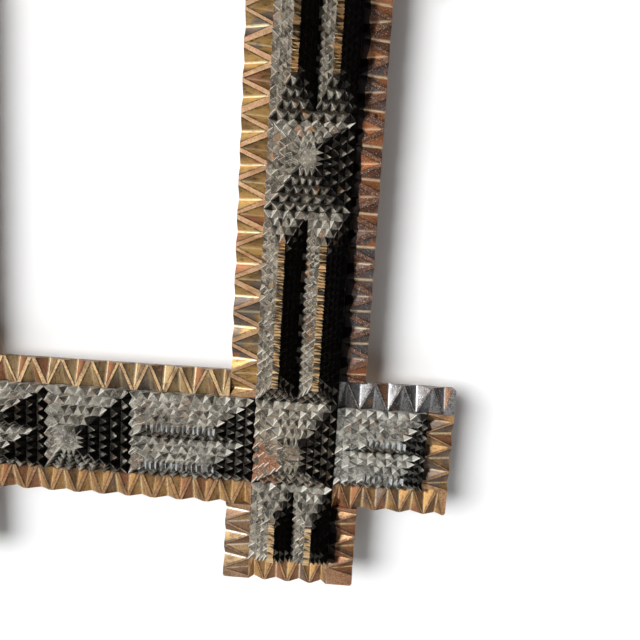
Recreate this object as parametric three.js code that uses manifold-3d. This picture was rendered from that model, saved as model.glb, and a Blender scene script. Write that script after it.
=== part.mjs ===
// Tramp art frame: a cross-corner picture frame built up from notch-carved layers of thin cigar-box wood.
// Two stiles and two rails are half-lapped where they cross, and their ends run on past the crossings
// as ears. Each limb has a carved border strip along both edges, and a field of stacked, edge-notched
// layers between them. Millimetres. X runs to the right, Z up and -Y towards the viewer.
// The origin lies on the back face of the top rail, at its middle, where the frame bears on the wall.
// Every piece is laid out flat first, as on the maker's bench: u to the right, v up, h off the wall.
import * as THREE from 'three';
import { mergeVertices } from 'three/addons/utils/BufferGeometryUtils.js';
import Module from 'manifold-3d';

const wasm = await Module();
wasm.setup();

// Plan of the frame
const stileSpacing = 218; // between the centre lines of the two stiles
const railSpacing = 280; // between the centre lines of the two rails
const stileWidth = 70; // stiles and upright ears
const railWidth = 72;
const sideEarWidth = 68; // the rails' ears are trimmed narrower
const sideEarReach = 46.5; // rail ear beyond the stile's outer edge
const uprightEarReach = 42; // stile ear beyond the rail's outer edge

// Base boards
const boardThickness = 10;
const overhang = 3; // how far the border strips reach past the boards' edges
const rebateWidth = 6; // step round the back of the sight opening for glass and picture
const rebateDepth = 6;
const seam = 0.3; // glue line between neighbouring pieces

// Carved border strips
const borderWidth = 13.6;
const borderThickness = 4.5;
const hollowFloor = 1.3; // wood left under a hollow where it is deepest
const hollowSpacing = 8; // from one carved hollow to the next, open to the outer and inner edge in turn
const bandWidth = 2.2; // flat zigzag band left between the hollows

// Notched layers of the field
const layerThickness = 3.8;
const blockLayers = 5;
const plateauWidth = 14.6; // top layer of a block; the layers below it widen evenly to the field's edge
const blockPitch = 6.3; // tooth to tooth on a block's lowest layer
const ridgeLayers = 3;
const ridgePitch = 11; // coarser than on the real frame, so that the solids stay light
const ridgeValley = 0.8; // between the feet of two neighbouring ridges
const crestWidth = 4.2; // plain strip along the top of a ridge
const cornerShare = 1.08; // a corner tooth is at least this many notch depths wide, so no two notches meet
const endShare = 0.6; // and at least this many pitches wide on the lowest layer

// Hardware on the back
const fit = 0.3; // clearance round screws and under moving pieces
const tipCover = 2; // wood between a screw's tip and the board's front
const buttonLength = 27;
const buttonWidth = 11;
const buttonThickness = 3;
const buttonInset = 8; // pivot from the rebate's wall
const screwRadius = 1.5;
const screwHeadRadius = 3.4;
const screwHeadHeight = 1.8;
const eyeHeight = 16; // above the top rail's centre line
const eyeWire = 1.1; // wire radius
const eyeStandOff = 1.5; // between the screw eye's loop and the board
const ringRadius = 9; // centre line of the hanging ring
const ringWire = 1.0; // wire radius
const ringPlay = 0.6; // how much wider the eye's hole is than the ring's wire, on the radius

// Facets of round pieces
const holeSides = 10;
const wireSides = 6;
const buttonSteps = 6;
const eyeSteps = 14;
const ringSteps = 22;

// Sizes that follow
const halfStile = stileWidth / 2;
const halfRail = railWidth / 2;
const halfEar = sideEarWidth / 2;
const stileBoard = halfStile - overhang;
const railBoard = halfRail - overhang;
const earBoard = halfEar - overhang;
const halfStileField = halfStile - borderWidth;
const halfRailField = halfRail - borderWidth;
const halfEarField = halfEar - borderWidth;
const stileU = stileSpacing / 2;
const railV = railSpacing / 2;
const sideEarEnd = stileU + halfStile + sideEarReach;
const uprightEarEnd = railV + halfRail + uprightEarReach;
const sideBoardEnd = sideEarEnd - overhang;
const uprightBoardEnd = uprightEarEnd - overhang;
const borderTop = boardThickness + borderThickness;
const hollowDepth = borderThickness - hollowFloor;
const sightU = stileU - halfStile;
const sightV = railV - halfRail;
const lapHeight = boardThickness / 2;
const screwDepth = boardThickness - tipCover;
const quarterTurn = Math.PI / 2;

const finishes = {
  board: new THREE.MeshStandardMaterial({ color: 0x5b3a24, roughness: 0.85, metalness: 0 }),
  border: new THREE.MeshStandardMaterial({ color: 0xb07a3c, roughness: 0.5, metalness: 0.35 }),
  field: new THREE.MeshStandardMaterial({ color: 0x8b887b, roughness: 0.6, metalness: 0.2 }),
  hardware: new THREE.MeshStandardMaterial({ color: 0x8f7338, roughness: 0.45, metalness: 0.8 }),
};

const frame = new THREE.Group();

// Stands a flat layout up in the frame: X = u, Y = -h and Z = v, measured from the top rail's middle.
function stand(geometry) {
  const upright = new THREE.Matrix4().set(1, 0, 0, 0, 0, 0, -1, 0, 0, 1, 0, -railV, 0, 0, 0, 1);
  return geometry.applyMatrix4(upright);
}

function addPiece(name, geometry, finish) {
  const mesh = new THREE.Mesh(stand(geometry), finishes[finish].clone());
  mesh.name = name;
  frame.add(mesh);
}

function toManifold(geometry) {
  const bare = geometry.clone();
  bare.deleteAttribute('normal');
  bare.deleteAttribute('uv');
  const merged = mergeVertices(bare, 1e-4);
  return new wasm.Manifold(new wasm.Mesh({
    numProp: 3,
    vertProperties: new Float32Array(merged.attributes.position.array),
    triVerts: new Uint32Array(merged.index.array),
  }));
}

function toGeometry(manifold) {
  const { vertProperties, triVerts } = manifold.getMesh();
  const geometry = new THREE.BufferGeometry();
  geometry.setAttribute('position', new THREE.BufferAttribute(new Float32Array(vertProperties), 3));
  geometry.setIndex(new THREE.BufferAttribute(new Uint32Array(triVerts), 1));
  return geometry;
}

function fromTriangles(points, triangles) {
  const geometry = new THREE.BufferGeometry();
  geometry.setAttribute('position', new THREE.Float32BufferAttribute(points.flat(), 3));
  geometry.setIndex(triangles.flat());
  return geometry;
}

// Box between two corners of the flat layout.
function block(u0, u1, v0, v1, h0, h1) {
  const geometry = new THREE.BoxGeometry(u1 - u0, v1 - v0, h1 - h0);
  return toManifold(geometry.translate((u0 + u1) / 2, (v0 + v1) / 2, (h0 + h1) / 2));
}

const joined = (solids) => solids.reduce((whole, solid) => whole.add(solid));

// Notch centres across a width, spread evenly between the corner teeth of its lowest layer.
function notchColumns(halfLength, pitch, depth) {
  const reach = halfLength - Math.max(cornerShare * depth, endShare * pitch);
  const spaces = Math.max(1, Math.round((2 * reach) / pitch));
  return Array.from({ length: spaces + 1 }, (_, i) => reach * ((2 * i) / spaces - 1));
}

// One layer of thin wood, notched with a knife all round its edge.
// Each notch is a V that starts at the lower arris and deepens to `depth` at the top face, so the top
// outline is a zigzag with a tooth on every corner, while the lower outline stays straight.
function notchedLayer({ middleU = 0, halfU, halfV, low, depth, columnsU, columnsV }) {
  const high = low + layerThickness;
  const points = [];
  const triangles = [];
  const outline = [];
  const foot = [];
  const put = (u, v, h) => points.push([middleU + u, v, h]) - 1;
  const corners = [[-halfU, -halfV], [halfU, -halfV], [halfU, halfV], [-halfU, halfV]];
  const cornerFeet = corners.map(([u, v]) => put(u, v, low));
  const cornerTips = corners.map(([u, v]) => put(u, v, high));
  corners.forEach(([u0, v0], side) => {
    const next = (side + 1) % corners.length;
    const [u1, v1] = corners[next];
    const halfLength = Math.hypot(u1 - u0, v1 - v0) / 2;
    const along = [(u1 - u0) / (2 * halfLength), (v1 - v0) / (2 * halfLength)];
    const inward = [-along[1], along[0]];
    const middle = [(u0 + u1) / 2, (v0 + v1) / 2];
    const at = (s, inset, h) => put(
      middle[0] + along[0] * s + inward[0] * inset,
      middle[1] + along[1] * s + inward[1] * inset,
      h,
    );
    const reach = halfLength - cornerShare * depth;
    const columns = side % 2 === 0 ? columnsU.map((u) => u - middleU) : columnsV;
    const places = columns.filter((s) => Math.abs(s) < reach);
    let tip = cornerTips[side];
    let before = cornerFeet[side];
    outline.push(tip);
    foot.push(before);
    places.forEach((s, i) => {
      const valleyFoot = at(s, 0, low);
      const valleyHead = at(s, depth, high);
      const last = i === places.length - 1;
      const nextTip = last ? cornerTips[next] : at((s + places[i + 1]) / 2, 0, high);
      triangles.push([before, valleyFoot, tip]);
      triangles.push([tip, valleyFoot, valleyHead]);
      triangles.push([valleyFoot, nextTip, valleyHead]);
      outline.push(valleyHead);
      foot.push(valleyFoot);
      if (!last) outline.push(nextTip);
      tip = nextTip;
      before = valleyFoot;
    });
    triangles.push([before, cornerFeet[next], tip]);
    if (places.length === 0) triangles.push([cornerFeet[next], cornerTips[next], tip]);
  });
  const contour = outline.map((i) => new THREE.Vector2(points[i][0], points[i][1]));
  const lid = THREE.ShapeUtils.triangulateShape(contour, []);
  lid.forEach((face) => triangles.push(face.map((i) => outline[i])));
  const heart = put(0, 0, low);
  foot.forEach((i, k) => triangles.push([heart, foot[(k + 1) % foot.length], i]));
  return toManifold(fromTriangles(points, triangles));
}

// Layers glued one on another, each smaller than the one below by a step on every side.
function layerStack({ middleU = 0, halfU, halfV, low, step, columnsU, columnsV, count }) {
  const layers = Array.from({ length: count }, (_, i) => notchedLayer({
    middleU,
    halfU: halfU - i * step,
    halfV: halfV - i * step,
    low: low + i * layerThickness,
    depth: step,
    columnsU,
    columnsV,
  }));
  return joined(layers);
}

// What each layer of a block this wide leaves of the one below, so that the top layer keeps its width.
function ledgeOf(halfWidth) {
  return (halfWidth - plateauWidth / 2) / (blockLayers - 1);
}

// Stepped pyramid.
function pyramid(halfU, halfV) {
  const step = ledgeOf(Math.min(halfU, halfV));
  const columnsU = notchColumns(halfU, blockPitch, step);
  const columnsV = notchColumns(halfV, blockPitch, step);
  return layerStack({ halfU, halfV, low: borderTop, step, columnsU, columnsV, count: blockLayers });
}

// One full layer that carries two hipped ridges side by side, each with a plain strip along its crest.
// The ridges run along v.
function doubleRidge(halfU, halfV) {
  const ledge = ledgeOf(halfU);
  const footU = (2 * (halfU - ledge) - ridgeValley) / 2;
  const footV = 2 * (halfV - ledge);
  const step = (footU - crestWidth) / (2 * ridgeLayers);
  const crestV = footV / 2 - ridgeLayers * step;
  const low = borderTop + layerThickness;
  const top = low + ridgeLayers * layerThickness;
  const middles = [-1, 1].map((side) => side * (footU + ridgeValley) / 2);
  const acrossRidge = notchColumns(footU / 2, ridgePitch, step);
  const columnsU = middles.flatMap((middle) => acrossRidge.map((u) => middle + u));
  const columnsV = notchColumns(footV / 2, ridgePitch, step);
  const floor = notchedLayer({ halfU, halfV, low: borderTop, depth: ledge, columnsU, columnsV });
  const ridges = middles.map((middleU) => {
    const layers = layerStack({
      middleU, halfU: footU / 2, halfV: footV / 2, low, step, columnsU, columnsV, count: ridgeLayers,
    });
    const crestU = crestWidth / 2;
    return layers.add(block(middleU - crestU, middleU + crestU, -crestV, crestV, top, top + layerThickness));
  });
  return joined([floor, ...ridges]);
}

// Plain slab that lifts the notched layers level with the border strips.
function plinth(halfU, halfV) {
  return block(-halfU, halfU, -halfV, halfV, boardThickness, borderTop);
}

// Carved border strip along +u, with its outer edge on v = 0 and its inner edge on v = borderWidth.
// V-shaped hollows are cut from the two edges in turn. Each starts from nothing at the far edge and is
// widest and deepest at its own, which leaves the flat zigzag band between them.
function borderStrip(length) {
  const strip = block(0, length, 0, borderWidth, boardThickness, borderTop);
  const count = Math.max(1, Math.round(length / hollowSpacing));
  const spacing = length / count;
  const runOut = 1.15; // the cutter is this much longer and deeper than the hollow, so it clears the wood
  const depth = hollowDepth * runOut;
  const halfMouth = (spacing - bandWidth) * runOut * runOut;
  const points = [];
  const triangles = [];
  for (let i = 0; i < count; i += 1) {
    const u = (i + 0.5) * spacing;
    const side = i % 2 === 0 ? 1 : -1;
    const tipV = side > 0 ? borderWidth : 0;
    const mouthV = tipV - side * borderWidth * runOut;
    const top = borderTop + depth * (runOut - 1);
    const tip = points.length;
    const [deep, left, right] = [tip + 1, tip + 2, tip + 3];
    points.push([u, tipV, borderTop]);
    points.push([u, mouthV, borderTop - depth]);
    points.push([u - side * halfMouth, mouthV, top]);
    points.push([u + side * halfMouth, mouthV, top]);
    triangles.push([tip, deep, left], [tip, right, deep], [deep, right, left], [tip, left, right]);
  }
  return strip.subtract(toManifold(fromTriangles(points, triangles)));
}

const facings = { down: 0, right: quarterTurn, up: 2 * quarterTurn, left: 3 * quarterTurn };

// Lays a border strip along a limb. Its outer edge lies on `edge`, and it runs from `from` to `to`.
function addBorder(name, facing, edge, from, to) {
  const start = from + seam / 2;
  const end = to - seam / 2;
  const places = { down: [start, edge], right: [edge, start], up: [end, edge], left: [edge, end] };
  const [u, v] = places[facing];
  const geometry = toGeometry(borderStrip(end - start)).rotateZ(facings[facing]).translate(u, v, 0);
  addPiece(name, geometry, 'border');
}

// Base boards, half-lapped at the crossings with the rails in front, and rebated round the sight opening.
const past = 1; // how far a cut runs out past the wood
const rebateU = sightU + rebateWidth;
const rebateV = sightV + rebateWidth;
const rebate = block(-rebateU, rebateU, -rebateV, rebateV, -past, rebateDepth);
const buttonU = rebateU + buttonInset;
const eyeV = railV + eyeHeight;

function pilotHole(u, v, radius) {
  const geometry = new THREE.CylinderGeometry(radius, radius, screwDepth + past, holeSides);
  return toManifold(geometry.rotateX(quarterTurn).translate(u, v, (screwDepth - past) / 2));
}

for (const [name, side] of [['stile_left', -1], ['stile_right', 1]]) {
  const u = side * stileU;
  const halfCut = railBoard + seam;
  const laps = [-railV, railV].map((v) => block(
    u - halfStile, u + halfStile, v - halfCut, v + halfCut, lapHeight, boardThickness + past,
  ));
  const board = block(u - stileBoard, u + stileBoard, -uprightBoardEnd, uprightBoardEnd, 0, boardThickness);
  const hole = pilotHole(side * buttonU, 0, screwRadius + fit);
  addPiece(name, toGeometry(board.subtract(joined(laps)).subtract(rebate).subtract(hole)), 'board');
}

for (const [name, side] of [['rail_bottom', -1], ['rail_top', 1]]) {
  const v = side * railV;
  const halfCut = stileBoard + seam;
  const laps = [-stileU, stileU].map((u) => block(
    u - halfCut, u + halfCut, v - halfRail, v + halfRail, -past, lapHeight,
  ));
  const shoulder = stileU + stileBoard;
  const middle = block(-shoulder, shoulder, v - railBoard, v + railBoard, 0, boardThickness);
  const ears = [
    block(-sideBoardEnd, -shoulder, v - earBoard, v + earBoard, 0, boardThickness),
    block(shoulder, sideBoardEnd, v - earBoard, v + earBoard, 0, boardThickness),
  ];
  let board = joined([middle, ...ears]).subtract(joined(laps)).subtract(rebate);
  if (side > 0) board = board.subtract(pilotHole(0, eyeV, eyeWire + fit));
  addPiece(name, toGeometry(board), 'board');
}

// Fields between the crossings: a plinth that carries a ridge pair, a square block and a second pair.
function limbField(halfWidth, halfSpan) {
  const halfU = halfWidth - seam;
  const ridgeHalf = (halfSpan - halfWidth) / 2 - seam / 2;
  const ridgeV = (halfSpan + halfWidth) / 2;
  const pair = doubleRidge(halfU, ridgeHalf);
  const placed = [-1, 1].map((end) => toManifold(toGeometry(pair).translate(0, end * ridgeV, 0)));
  return joined([plinth(halfU, halfSpan - seam), pyramid(halfU, halfWidth - seam / 2), ...placed]);
}

const stileField = toGeometry(limbField(halfStileField, railV - halfRailField));
const railField = toGeometry(limbField(halfRailField, stileU - halfStileField)).rotateZ(quarterTurn);
addPiece('field_left', stileField.clone().translate(-stileU, 0, 0), 'field');
addPiece('field_right', stileField.clone().translate(stileU, 0, 0), 'field');
addPiece('field_bottom', railField.clone().translate(0, -railV, 0), 'field');
addPiece('field_top', railField.clone().translate(0, railV, 0), 'field');

// Border strips between the crossings. The stiles' strips beside the opening run on to the rails' fields.
for (const [name, side] of [['left', -1], ['right', 1]]) {
  const outward = side < 0 ? 'left' : 'right';
  const inward = side < 0 ? 'right' : 'left';
  const edge = side * (stileU + halfStile);
  addBorder(`border_${name}_sight`, inward, side * sightU, halfRailField - railV, railV - halfRailField);
  addBorder(`border_${name}_outer`, outward, edge, halfEar - railV, railV - halfEar);
}
for (const [name, side] of [['bottom', -1], ['top', 1]]) {
  const outward = side < 0 ? 'down' : 'up';
  const inward = side < 0 ? 'up' : 'down';
  const edge = side * (railV + halfRail);
  addBorder(`border_${name}_sight`, inward, side * sightV, -sightU, sightU);
  addBorder(`border_${name}_outer`, outward, edge, halfStileField - stileU, stileU - halfStileField);
}

// Crossings and ears. At each corner the blocks and strips are the same, turned to face outwards.
const crossingU = halfStileField - seam;
const crossingV = halfRailField - seam;
const crossing = toGeometry(plinth(crossingU, crossingV).add(pyramid(crossingU, crossingV)));

function earBlock(halfWidth, length) {
  const halfU = halfWidth - seam;
  const halfV = length / 2 - seam / 2;
  return toGeometry(plinth(halfU, halfV).add(doubleRidge(halfU, halfV)));
}

const sideEarFrom = stileU + halfStileField;
const uprightEarFrom = railV + halfRailField;
const sideEarLength = sideEarEnd - borderWidth - sideEarFrom;
const uprightEarLength = uprightEarEnd - borderWidth - uprightEarFrom;
const sideEarBlock = earBlock(halfEarField, sideEarLength).rotateZ(quarterTurn);
const uprightEarBlock = earBlock(halfStileField, uprightEarLength);

// A strip between two places given outwards from the frame's middle, on either side of it.
function addOutwardBorder(name, facing, edge, side, near, far) {
  const ends = [side * near, side * far].sort((a, b) => a - b);
  addBorder(name, facing, edge, ...ends);
}

for (const [vName, vSide] of [['bottom', -1], ['top', 1]]) {
  for (const [uName, uSide] of [['left', -1], ['right', 1]]) {
    const corner = `${vName}_${uName}`;
    const u = uSide * stileU;
    const v = vSide * railV;
    const [outward, inward] = vSide < 0 ? ['down', 'up'] : ['up', 'down'];
    addPiece(`crossing_${corner}`, crossing.clone().translate(u, v, 0), 'field');

    const sideEar = `side_ear_${corner}`;
    const sideU = uSide * (sideEarFrom + sideEarLength / 2);
    addPiece(sideEar, sideEarBlock.clone().translate(sideU, v, 0), 'field');
    addOutwardBorder(`${sideEar}_outer`, outward, v + vSide * halfEar, uSide, sideEarFrom, sideEarEnd);
    addOutwardBorder(`${sideEar}_sight`, inward, v - vSide * halfEar, uSide, sideEarFrom, sideEarEnd);
    addBorder(`${sideEar}_end`, uName, uSide * sideEarEnd, v - halfEarField, v + halfEarField);

    const uprightEar = `upright_ear_${corner}`;
    const uprightV = vSide * (uprightEarFrom + uprightEarLength / 2);
    const farther = u + uSide * halfStile;
    const nearer = u - uSide * halfStile;
    const towardsMiddle = uSide < 0 ? 'right' : 'left';
    addPiece(uprightEar, uprightEarBlock.clone().translate(u, uprightV, 0), 'field');
    addOutwardBorder(`${uprightEar}_outer`, uName, farther, vSide, railV + halfEar, uprightEarEnd);
    addOutwardBorder(`${uprightEar}_sight`, towardsMiddle, nearer, vSide, railV + halfRail, uprightEarEnd);
    addBorder(`${uprightEar}_end`, outward, vSide * uprightEarEnd, u - halfStileField, u + halfStileField);
  }
}

// Turn buttons on the stiles' backs, at rest along the stile. A quarter turn lays one end over the rebate.
const buttonBack = -fit - buttonThickness;
const headLow = buttonBack - fit;
const headSteps = 3;
for (const [name, side] of [['left', -1], ['right', 1]]) {
  const round = buttonWidth / 2;
  const straight = buttonLength / 2 - round;
  const outline = new THREE.Shape();
  outline.absarc(0, straight, round, 0, Math.PI, false);
  outline.absarc(0, -straight, round, Math.PI, 2 * Math.PI, false);
  outline.holes.push(new THREE.Path().absarc(0, 0, screwRadius + fit, 0, 2 * Math.PI, true));
  const settings = { depth: buttonThickness, bevelEnabled: false, curveSegments: buttonSteps };
  const plate = new THREE.ExtrudeGeometry(outline, settings).translate(side * buttonU, 0, buttonBack);
  addPiece(`turn_button_${name}`, toGeometry(toManifold(plate)), 'hardware');

  const dome = Array.from({ length: headSteps + 1 }, (_, i) => {
    const angle = (i / headSteps) * quarterTurn;
    return [screwHeadRadius * Math.sin(angle), headLow - screwHeadHeight * Math.cos(angle)];
  });
  const tip = screwDepth - fit;
  const shank = [[screwRadius, headLow], [screwRadius, tip - screwRadius], [0, tip]];
  const profile = [...dome, ...shank].map(([r, h]) => new THREE.Vector2(r, h));
  const screw = new THREE.LatheGeometry(profile, holeSides).rotateX(quarterTurn);
  screw.translate(side * buttonU, 0, 0);
  addPiece(`button_screw_${name}`, toGeometry(toManifold(screw)), 'hardware');
}

// Screw eye and loose hanging ring on the top rail's back. The ring hangs down, resting in the eye.
const eyeRadius = ringWire + ringPlay + eyeWire;
const eyeH = -(eyeRadius + eyeWire + eyeStandOff);
const loop = new THREE.TorusGeometry(eyeRadius, eyeWire, wireSides, eyeSteps).rotateY(quarterTurn);
const shankFrom = eyeH + eyeRadius;
const shankTo = screwDepth - fit;
const shank = new THREE.CylinderGeometry(eyeWire, eyeWire, shankTo - shankFrom, holeSides);
const eye = toManifold(loop.translate(0, eyeV, eyeH)).add(
  toManifold(shank.rotateX(quarterTurn).translate(0, eyeV, (shankTo + shankFrom) / 2)),
);
addPiece('screw_eye', toGeometry(eye), 'hardware');

const ringTop = eyeV - (ringPlay - fit);
const ring = new THREE.TorusGeometry(ringRadius, ringWire, wireSides, ringSteps);
addPiece('hanging_ring', toGeometry(toManifold(ring.translate(0, ringTop - ringRadius, eyeH))), 'hardware');

export default frame;
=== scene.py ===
"""Dressed tramp art frame: notch-carved layers, carved border strips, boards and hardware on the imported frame.

Every piece is laid out flat first, as on the maker's bench (u to the right, v up, h off the wall), and then
stands up on the frame: X = u, Y = -h and Z = v, measured from the top rail's middle. Lengths are in metres.
"""

import logging
import math
import random
from collections.abc import Callable, Iterator, Sequence
from contextlib import contextmanager
from dataclasses import dataclass, field
from enum import Enum, IntEnum

import bmesh
import bpy
from mathutils import Matrix, Vector

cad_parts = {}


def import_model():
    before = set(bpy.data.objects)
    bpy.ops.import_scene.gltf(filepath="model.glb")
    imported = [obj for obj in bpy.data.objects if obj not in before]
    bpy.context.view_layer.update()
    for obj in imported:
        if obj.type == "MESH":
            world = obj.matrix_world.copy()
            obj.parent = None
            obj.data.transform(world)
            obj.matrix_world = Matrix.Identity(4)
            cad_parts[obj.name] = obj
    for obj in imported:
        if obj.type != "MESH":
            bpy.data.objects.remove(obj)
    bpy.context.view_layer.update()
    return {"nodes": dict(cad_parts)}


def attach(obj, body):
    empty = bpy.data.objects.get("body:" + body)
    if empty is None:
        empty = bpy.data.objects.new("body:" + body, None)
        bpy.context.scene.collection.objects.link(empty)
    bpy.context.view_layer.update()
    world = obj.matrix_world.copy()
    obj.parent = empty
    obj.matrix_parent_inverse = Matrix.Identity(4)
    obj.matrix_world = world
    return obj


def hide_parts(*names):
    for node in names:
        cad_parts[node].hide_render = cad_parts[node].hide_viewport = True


LOG = logging.getLogger("tramp_art_frame")
MM = 0.001
TINY = 1e-6
FIELD_SEED = 11
STRIP_SEED = 23
Scalar = "Wire | float"
Colour = tuple[float, float, float]


class Part(Enum):
    """Kinds of mesh element that can be picked in edit mode."""

    VERTS = "VERT"
    EDGES = "EDGE"
    FACES = "FACE"


class Slot(Enum):
    """The record's material slots of the pieces that stand for solids."""

    BORDER = "border"
    FIELD = "field"
    HARDWARE = "hardware"


class Facing(Enum):
    """Way a border strip's outer edge faces, in quarter turns from lying along +u."""

    DOWN = 0
    RIGHT = 1
    UP = 2
    LEFT = 3


class Slope(IntEnum):
    """Way a face of a notched layer slopes down, or what kind of level face it is."""

    LEVEL = -1
    RIGHT = 0
    UP = 1
    LEFT = 2
    DOWN = 3
    LEE = 4


# ---- bench tools


def choose(obj: bpy.types.Object) -> None:
    """Makes one object the active and the only selected one.

    Args:
        obj: The object.
    """
    bpy.ops.object.select_all(action="DESELECT")
    obj.select_set(True)
    bpy.context.view_layer.objects.active = obj


@contextmanager
def shaping(obj: bpy.types.Object) -> Iterator[None]:
    """Edit mode on one object.

    Args:
        obj: The mesh object to shape.
    """
    choose(obj)
    bpy.ops.object.mode_set(mode="EDIT")
    bpy.ops.mesh.select_all(action="SELECT")
    yield
    bpy.ops.object.mode_set(mode="OBJECT")


def pick(obj: bpy.types.Object, part: Part, wanted: Callable[..., bool]) -> None:
    """Selects the elements that pass a test, and no others.

    Args:
        obj: The object in edit mode.
        part: Which kind of element to pick.
        wanted: The test, on a bmesh element.
    """
    bpy.ops.mesh.select_mode(type=part.value)
    bpy.ops.mesh.select_all(action="DESELECT")
    mesh = bmesh.from_edit_mesh(obj.data)
    for item in [item for item in getattr(mesh, part.name.lower()) if wanted(item)]:
        item.select_set(True)
    mesh.select_flush_mode()
    bmesh.update_edit_mesh(obj.data)


def pick_all() -> None:
    """Selects everything in edit mode."""
    bpy.ops.mesh.select_all(action="SELECT")


def turn_out() -> None:
    """Turns all faces of a closed shape outwards."""
    pick_all()
    bpy.ops.mesh.normals_make_consistent(inside=False)


def shift(value: Sequence[float]) -> None:
    """Moves what is selected in edit mode."""
    bpy.ops.transform.translate(value=tuple(value))


def squeeze(value: Sequence[float], height: float = 0.0) -> None:
    """Scales what is selected in edit mode about a point of the h axis."""
    bpy.ops.transform.resize(value=tuple(value), center_override=(0, 0, height))


def raise_up(height: float) -> None:
    """Extrudes the selected faces upwards."""
    bpy.ops.mesh.extrude_region_move(TRANSFORM_OT_translate={"value": (0, 0, height)})


def ease_edges(offset: float, segments: int = 4) -> None:
    """Rounds the selected edges."""
    bpy.ops.mesh.bevel(offset=offset, segments=segments, affect="EDGES")


def standing(edge: bmesh.types.BMEdge) -> bool:
    """Whether an edge's two ends lie at different heights."""
    return abs(edge.verts[0].co.z - edge.verts[1].co.z) > TINY


def spot_key(spot: Vector) -> tuple[float, float]:
    """Place on the bench seen from above, rounded so that it can be looked up."""
    return round(spot.x, 7), round(spot.y, 7)


def grid(columns: int, rows: int) -> bpy.types.Object:
    """Flat grid of cells that reaches from -1 to 1 both ways."""
    bpy.ops.mesh.primitive_grid_add(x_subdivisions=columns, y_subdivisions=rows, size=2)
    return bpy.context.active_object


def cuboid(size: Sequence[float], middle: Sequence[float]) -> bpy.types.Object:
    """Plain block.

    Args:
        size: Its width, length and height.
        middle: Where its middle goes.

    Returns:
        The block.
    """
    bpy.ops.mesh.primitive_cube_add(size=1)
    made = bpy.context.active_object
    settle(made, Matrix.Translation(middle) @ Matrix.Diagonal((*size, 1)))
    return made


def joined(pieces: Sequence[bpy.types.Object], name: str) -> bpy.types.Object:
    """Joins objects into the first of them.

    Args:
        pieces: The objects to join.
        name: The name of the result.

    Returns:
        The joined object.
    """
    choose(pieces[0])
    for piece in pieces:
        piece.select_set(True)
    bpy.ops.object.join()
    made = bpy.context.view_layer.objects.active
    made.name = made.data.name = name
    return made


def copied(obj: bpy.types.Object, name: str) -> bpy.types.Object:
    """Copies an object together with its mesh.

    Args:
        obj: The object.
        name: The copy's name.

    Returns:
        The copy.
    """
    twin = obj.copy()
    twin.data = obj.data.copy()
    twin.name = twin.data.name = name
    bpy.context.collection.objects.link(twin)
    return twin


def settle(obj: bpy.types.Object, place: Matrix) -> None:
    """Puts an object's place into its mesh, so that the object itself sits at the origin.

    Args:
        obj: The object to settle.
        place: Where it goes.
    """
    obj.matrix_world = place @ obj.matrix_world
    bpy.context.view_layer.update()
    choose(obj)
    bpy.ops.object.transform_apply(location=True, rotation=True, scale=True)


def mark(obj: bpy.types.Object, name: str, domain: str, values: Sequence[float]) -> None:
    """Writes a number for each point, face or face corner.

    Args:
        obj: The object to mark.
        name: The attribute's name.
        domain: POINT, FACE or CORNER.
        values: One number or truth value for each element.
    """
    layer = obj.data.attributes.get(name) or obj.data.attributes.new(name, "FLOAT", domain)
    layer.data.foreach_set("value", [float(value) for value in values])


def mark_lay(obj: bpy.types.Object, dice: random.Random) -> None:
    """Keeps each point's place on the bench, so that grain and brush marks follow the piece.

    Args:
        obj: The object, still flat on the bench.
        dice: The seeded source of chance, for a start of its own in the finish's patterns.
    """
    start = Vector(dice.uniform(-1, 1) for _ in range(3))
    layer = obj.data.attributes.new("lay", "FLOAT_VECTOR", "POINT")
    shifted = [v.co + start for v in obj.data.vertices]
    layer.data.foreach_set("vector", [c for co in shifted for c in co])


def roughen(obj: bpy.types.Object, dice: random.Random, amount: float) -> None:
    """Moves every point a little, points in one place together, as a knife by hand does.

    Args:
        obj: The object, still flat on the bench.
        dice: The seeded source of chance.
        amount: The largest move along each axis.
    """
    moves: dict[tuple[float, ...], Vector] = {}
    for vertex in obj.data.vertices:
        key = tuple(round(c, 6) for c in vertex.co)
        if key not in moves:
            moves[key] = Vector(dice.uniform(-amount, amount) for _ in range(3))
        vertex.co = vertex.co + moves[key]


# ---- finishes


class Wire:
    """An output socket with arithmetic that adds Math nodes."""

    def __init__(self, bench: "Bench", socket: bpy.types.NodeSocket) -> None:
        """Wraps one output socket of the bench's tree."""
        self.bench = bench
        self.socket = socket

    def __add__(self, other: Scalar) -> "Wire":
        """Sum."""
        return self.bench.maths("ADD", self, other)

    def __radd__(self, other: Scalar) -> "Wire":
        """Sum, reflected."""
        return self.bench.maths("ADD", other, self)

    def __sub__(self, other: Scalar) -> "Wire":
        """Difference."""
        return self.bench.maths("SUBTRACT", self, other)

    def __rsub__(self, other: Scalar) -> "Wire":
        """Difference, reflected."""
        return self.bench.maths("SUBTRACT", other, self)

    def __mul__(self, other: Scalar) -> "Wire":
        """Product."""
        return self.bench.maths("MULTIPLY", self, other)

    def __rmul__(self, other: Scalar) -> "Wire":
        """Product, reflected."""
        return self.bench.maths("MULTIPLY", other, self)


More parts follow.
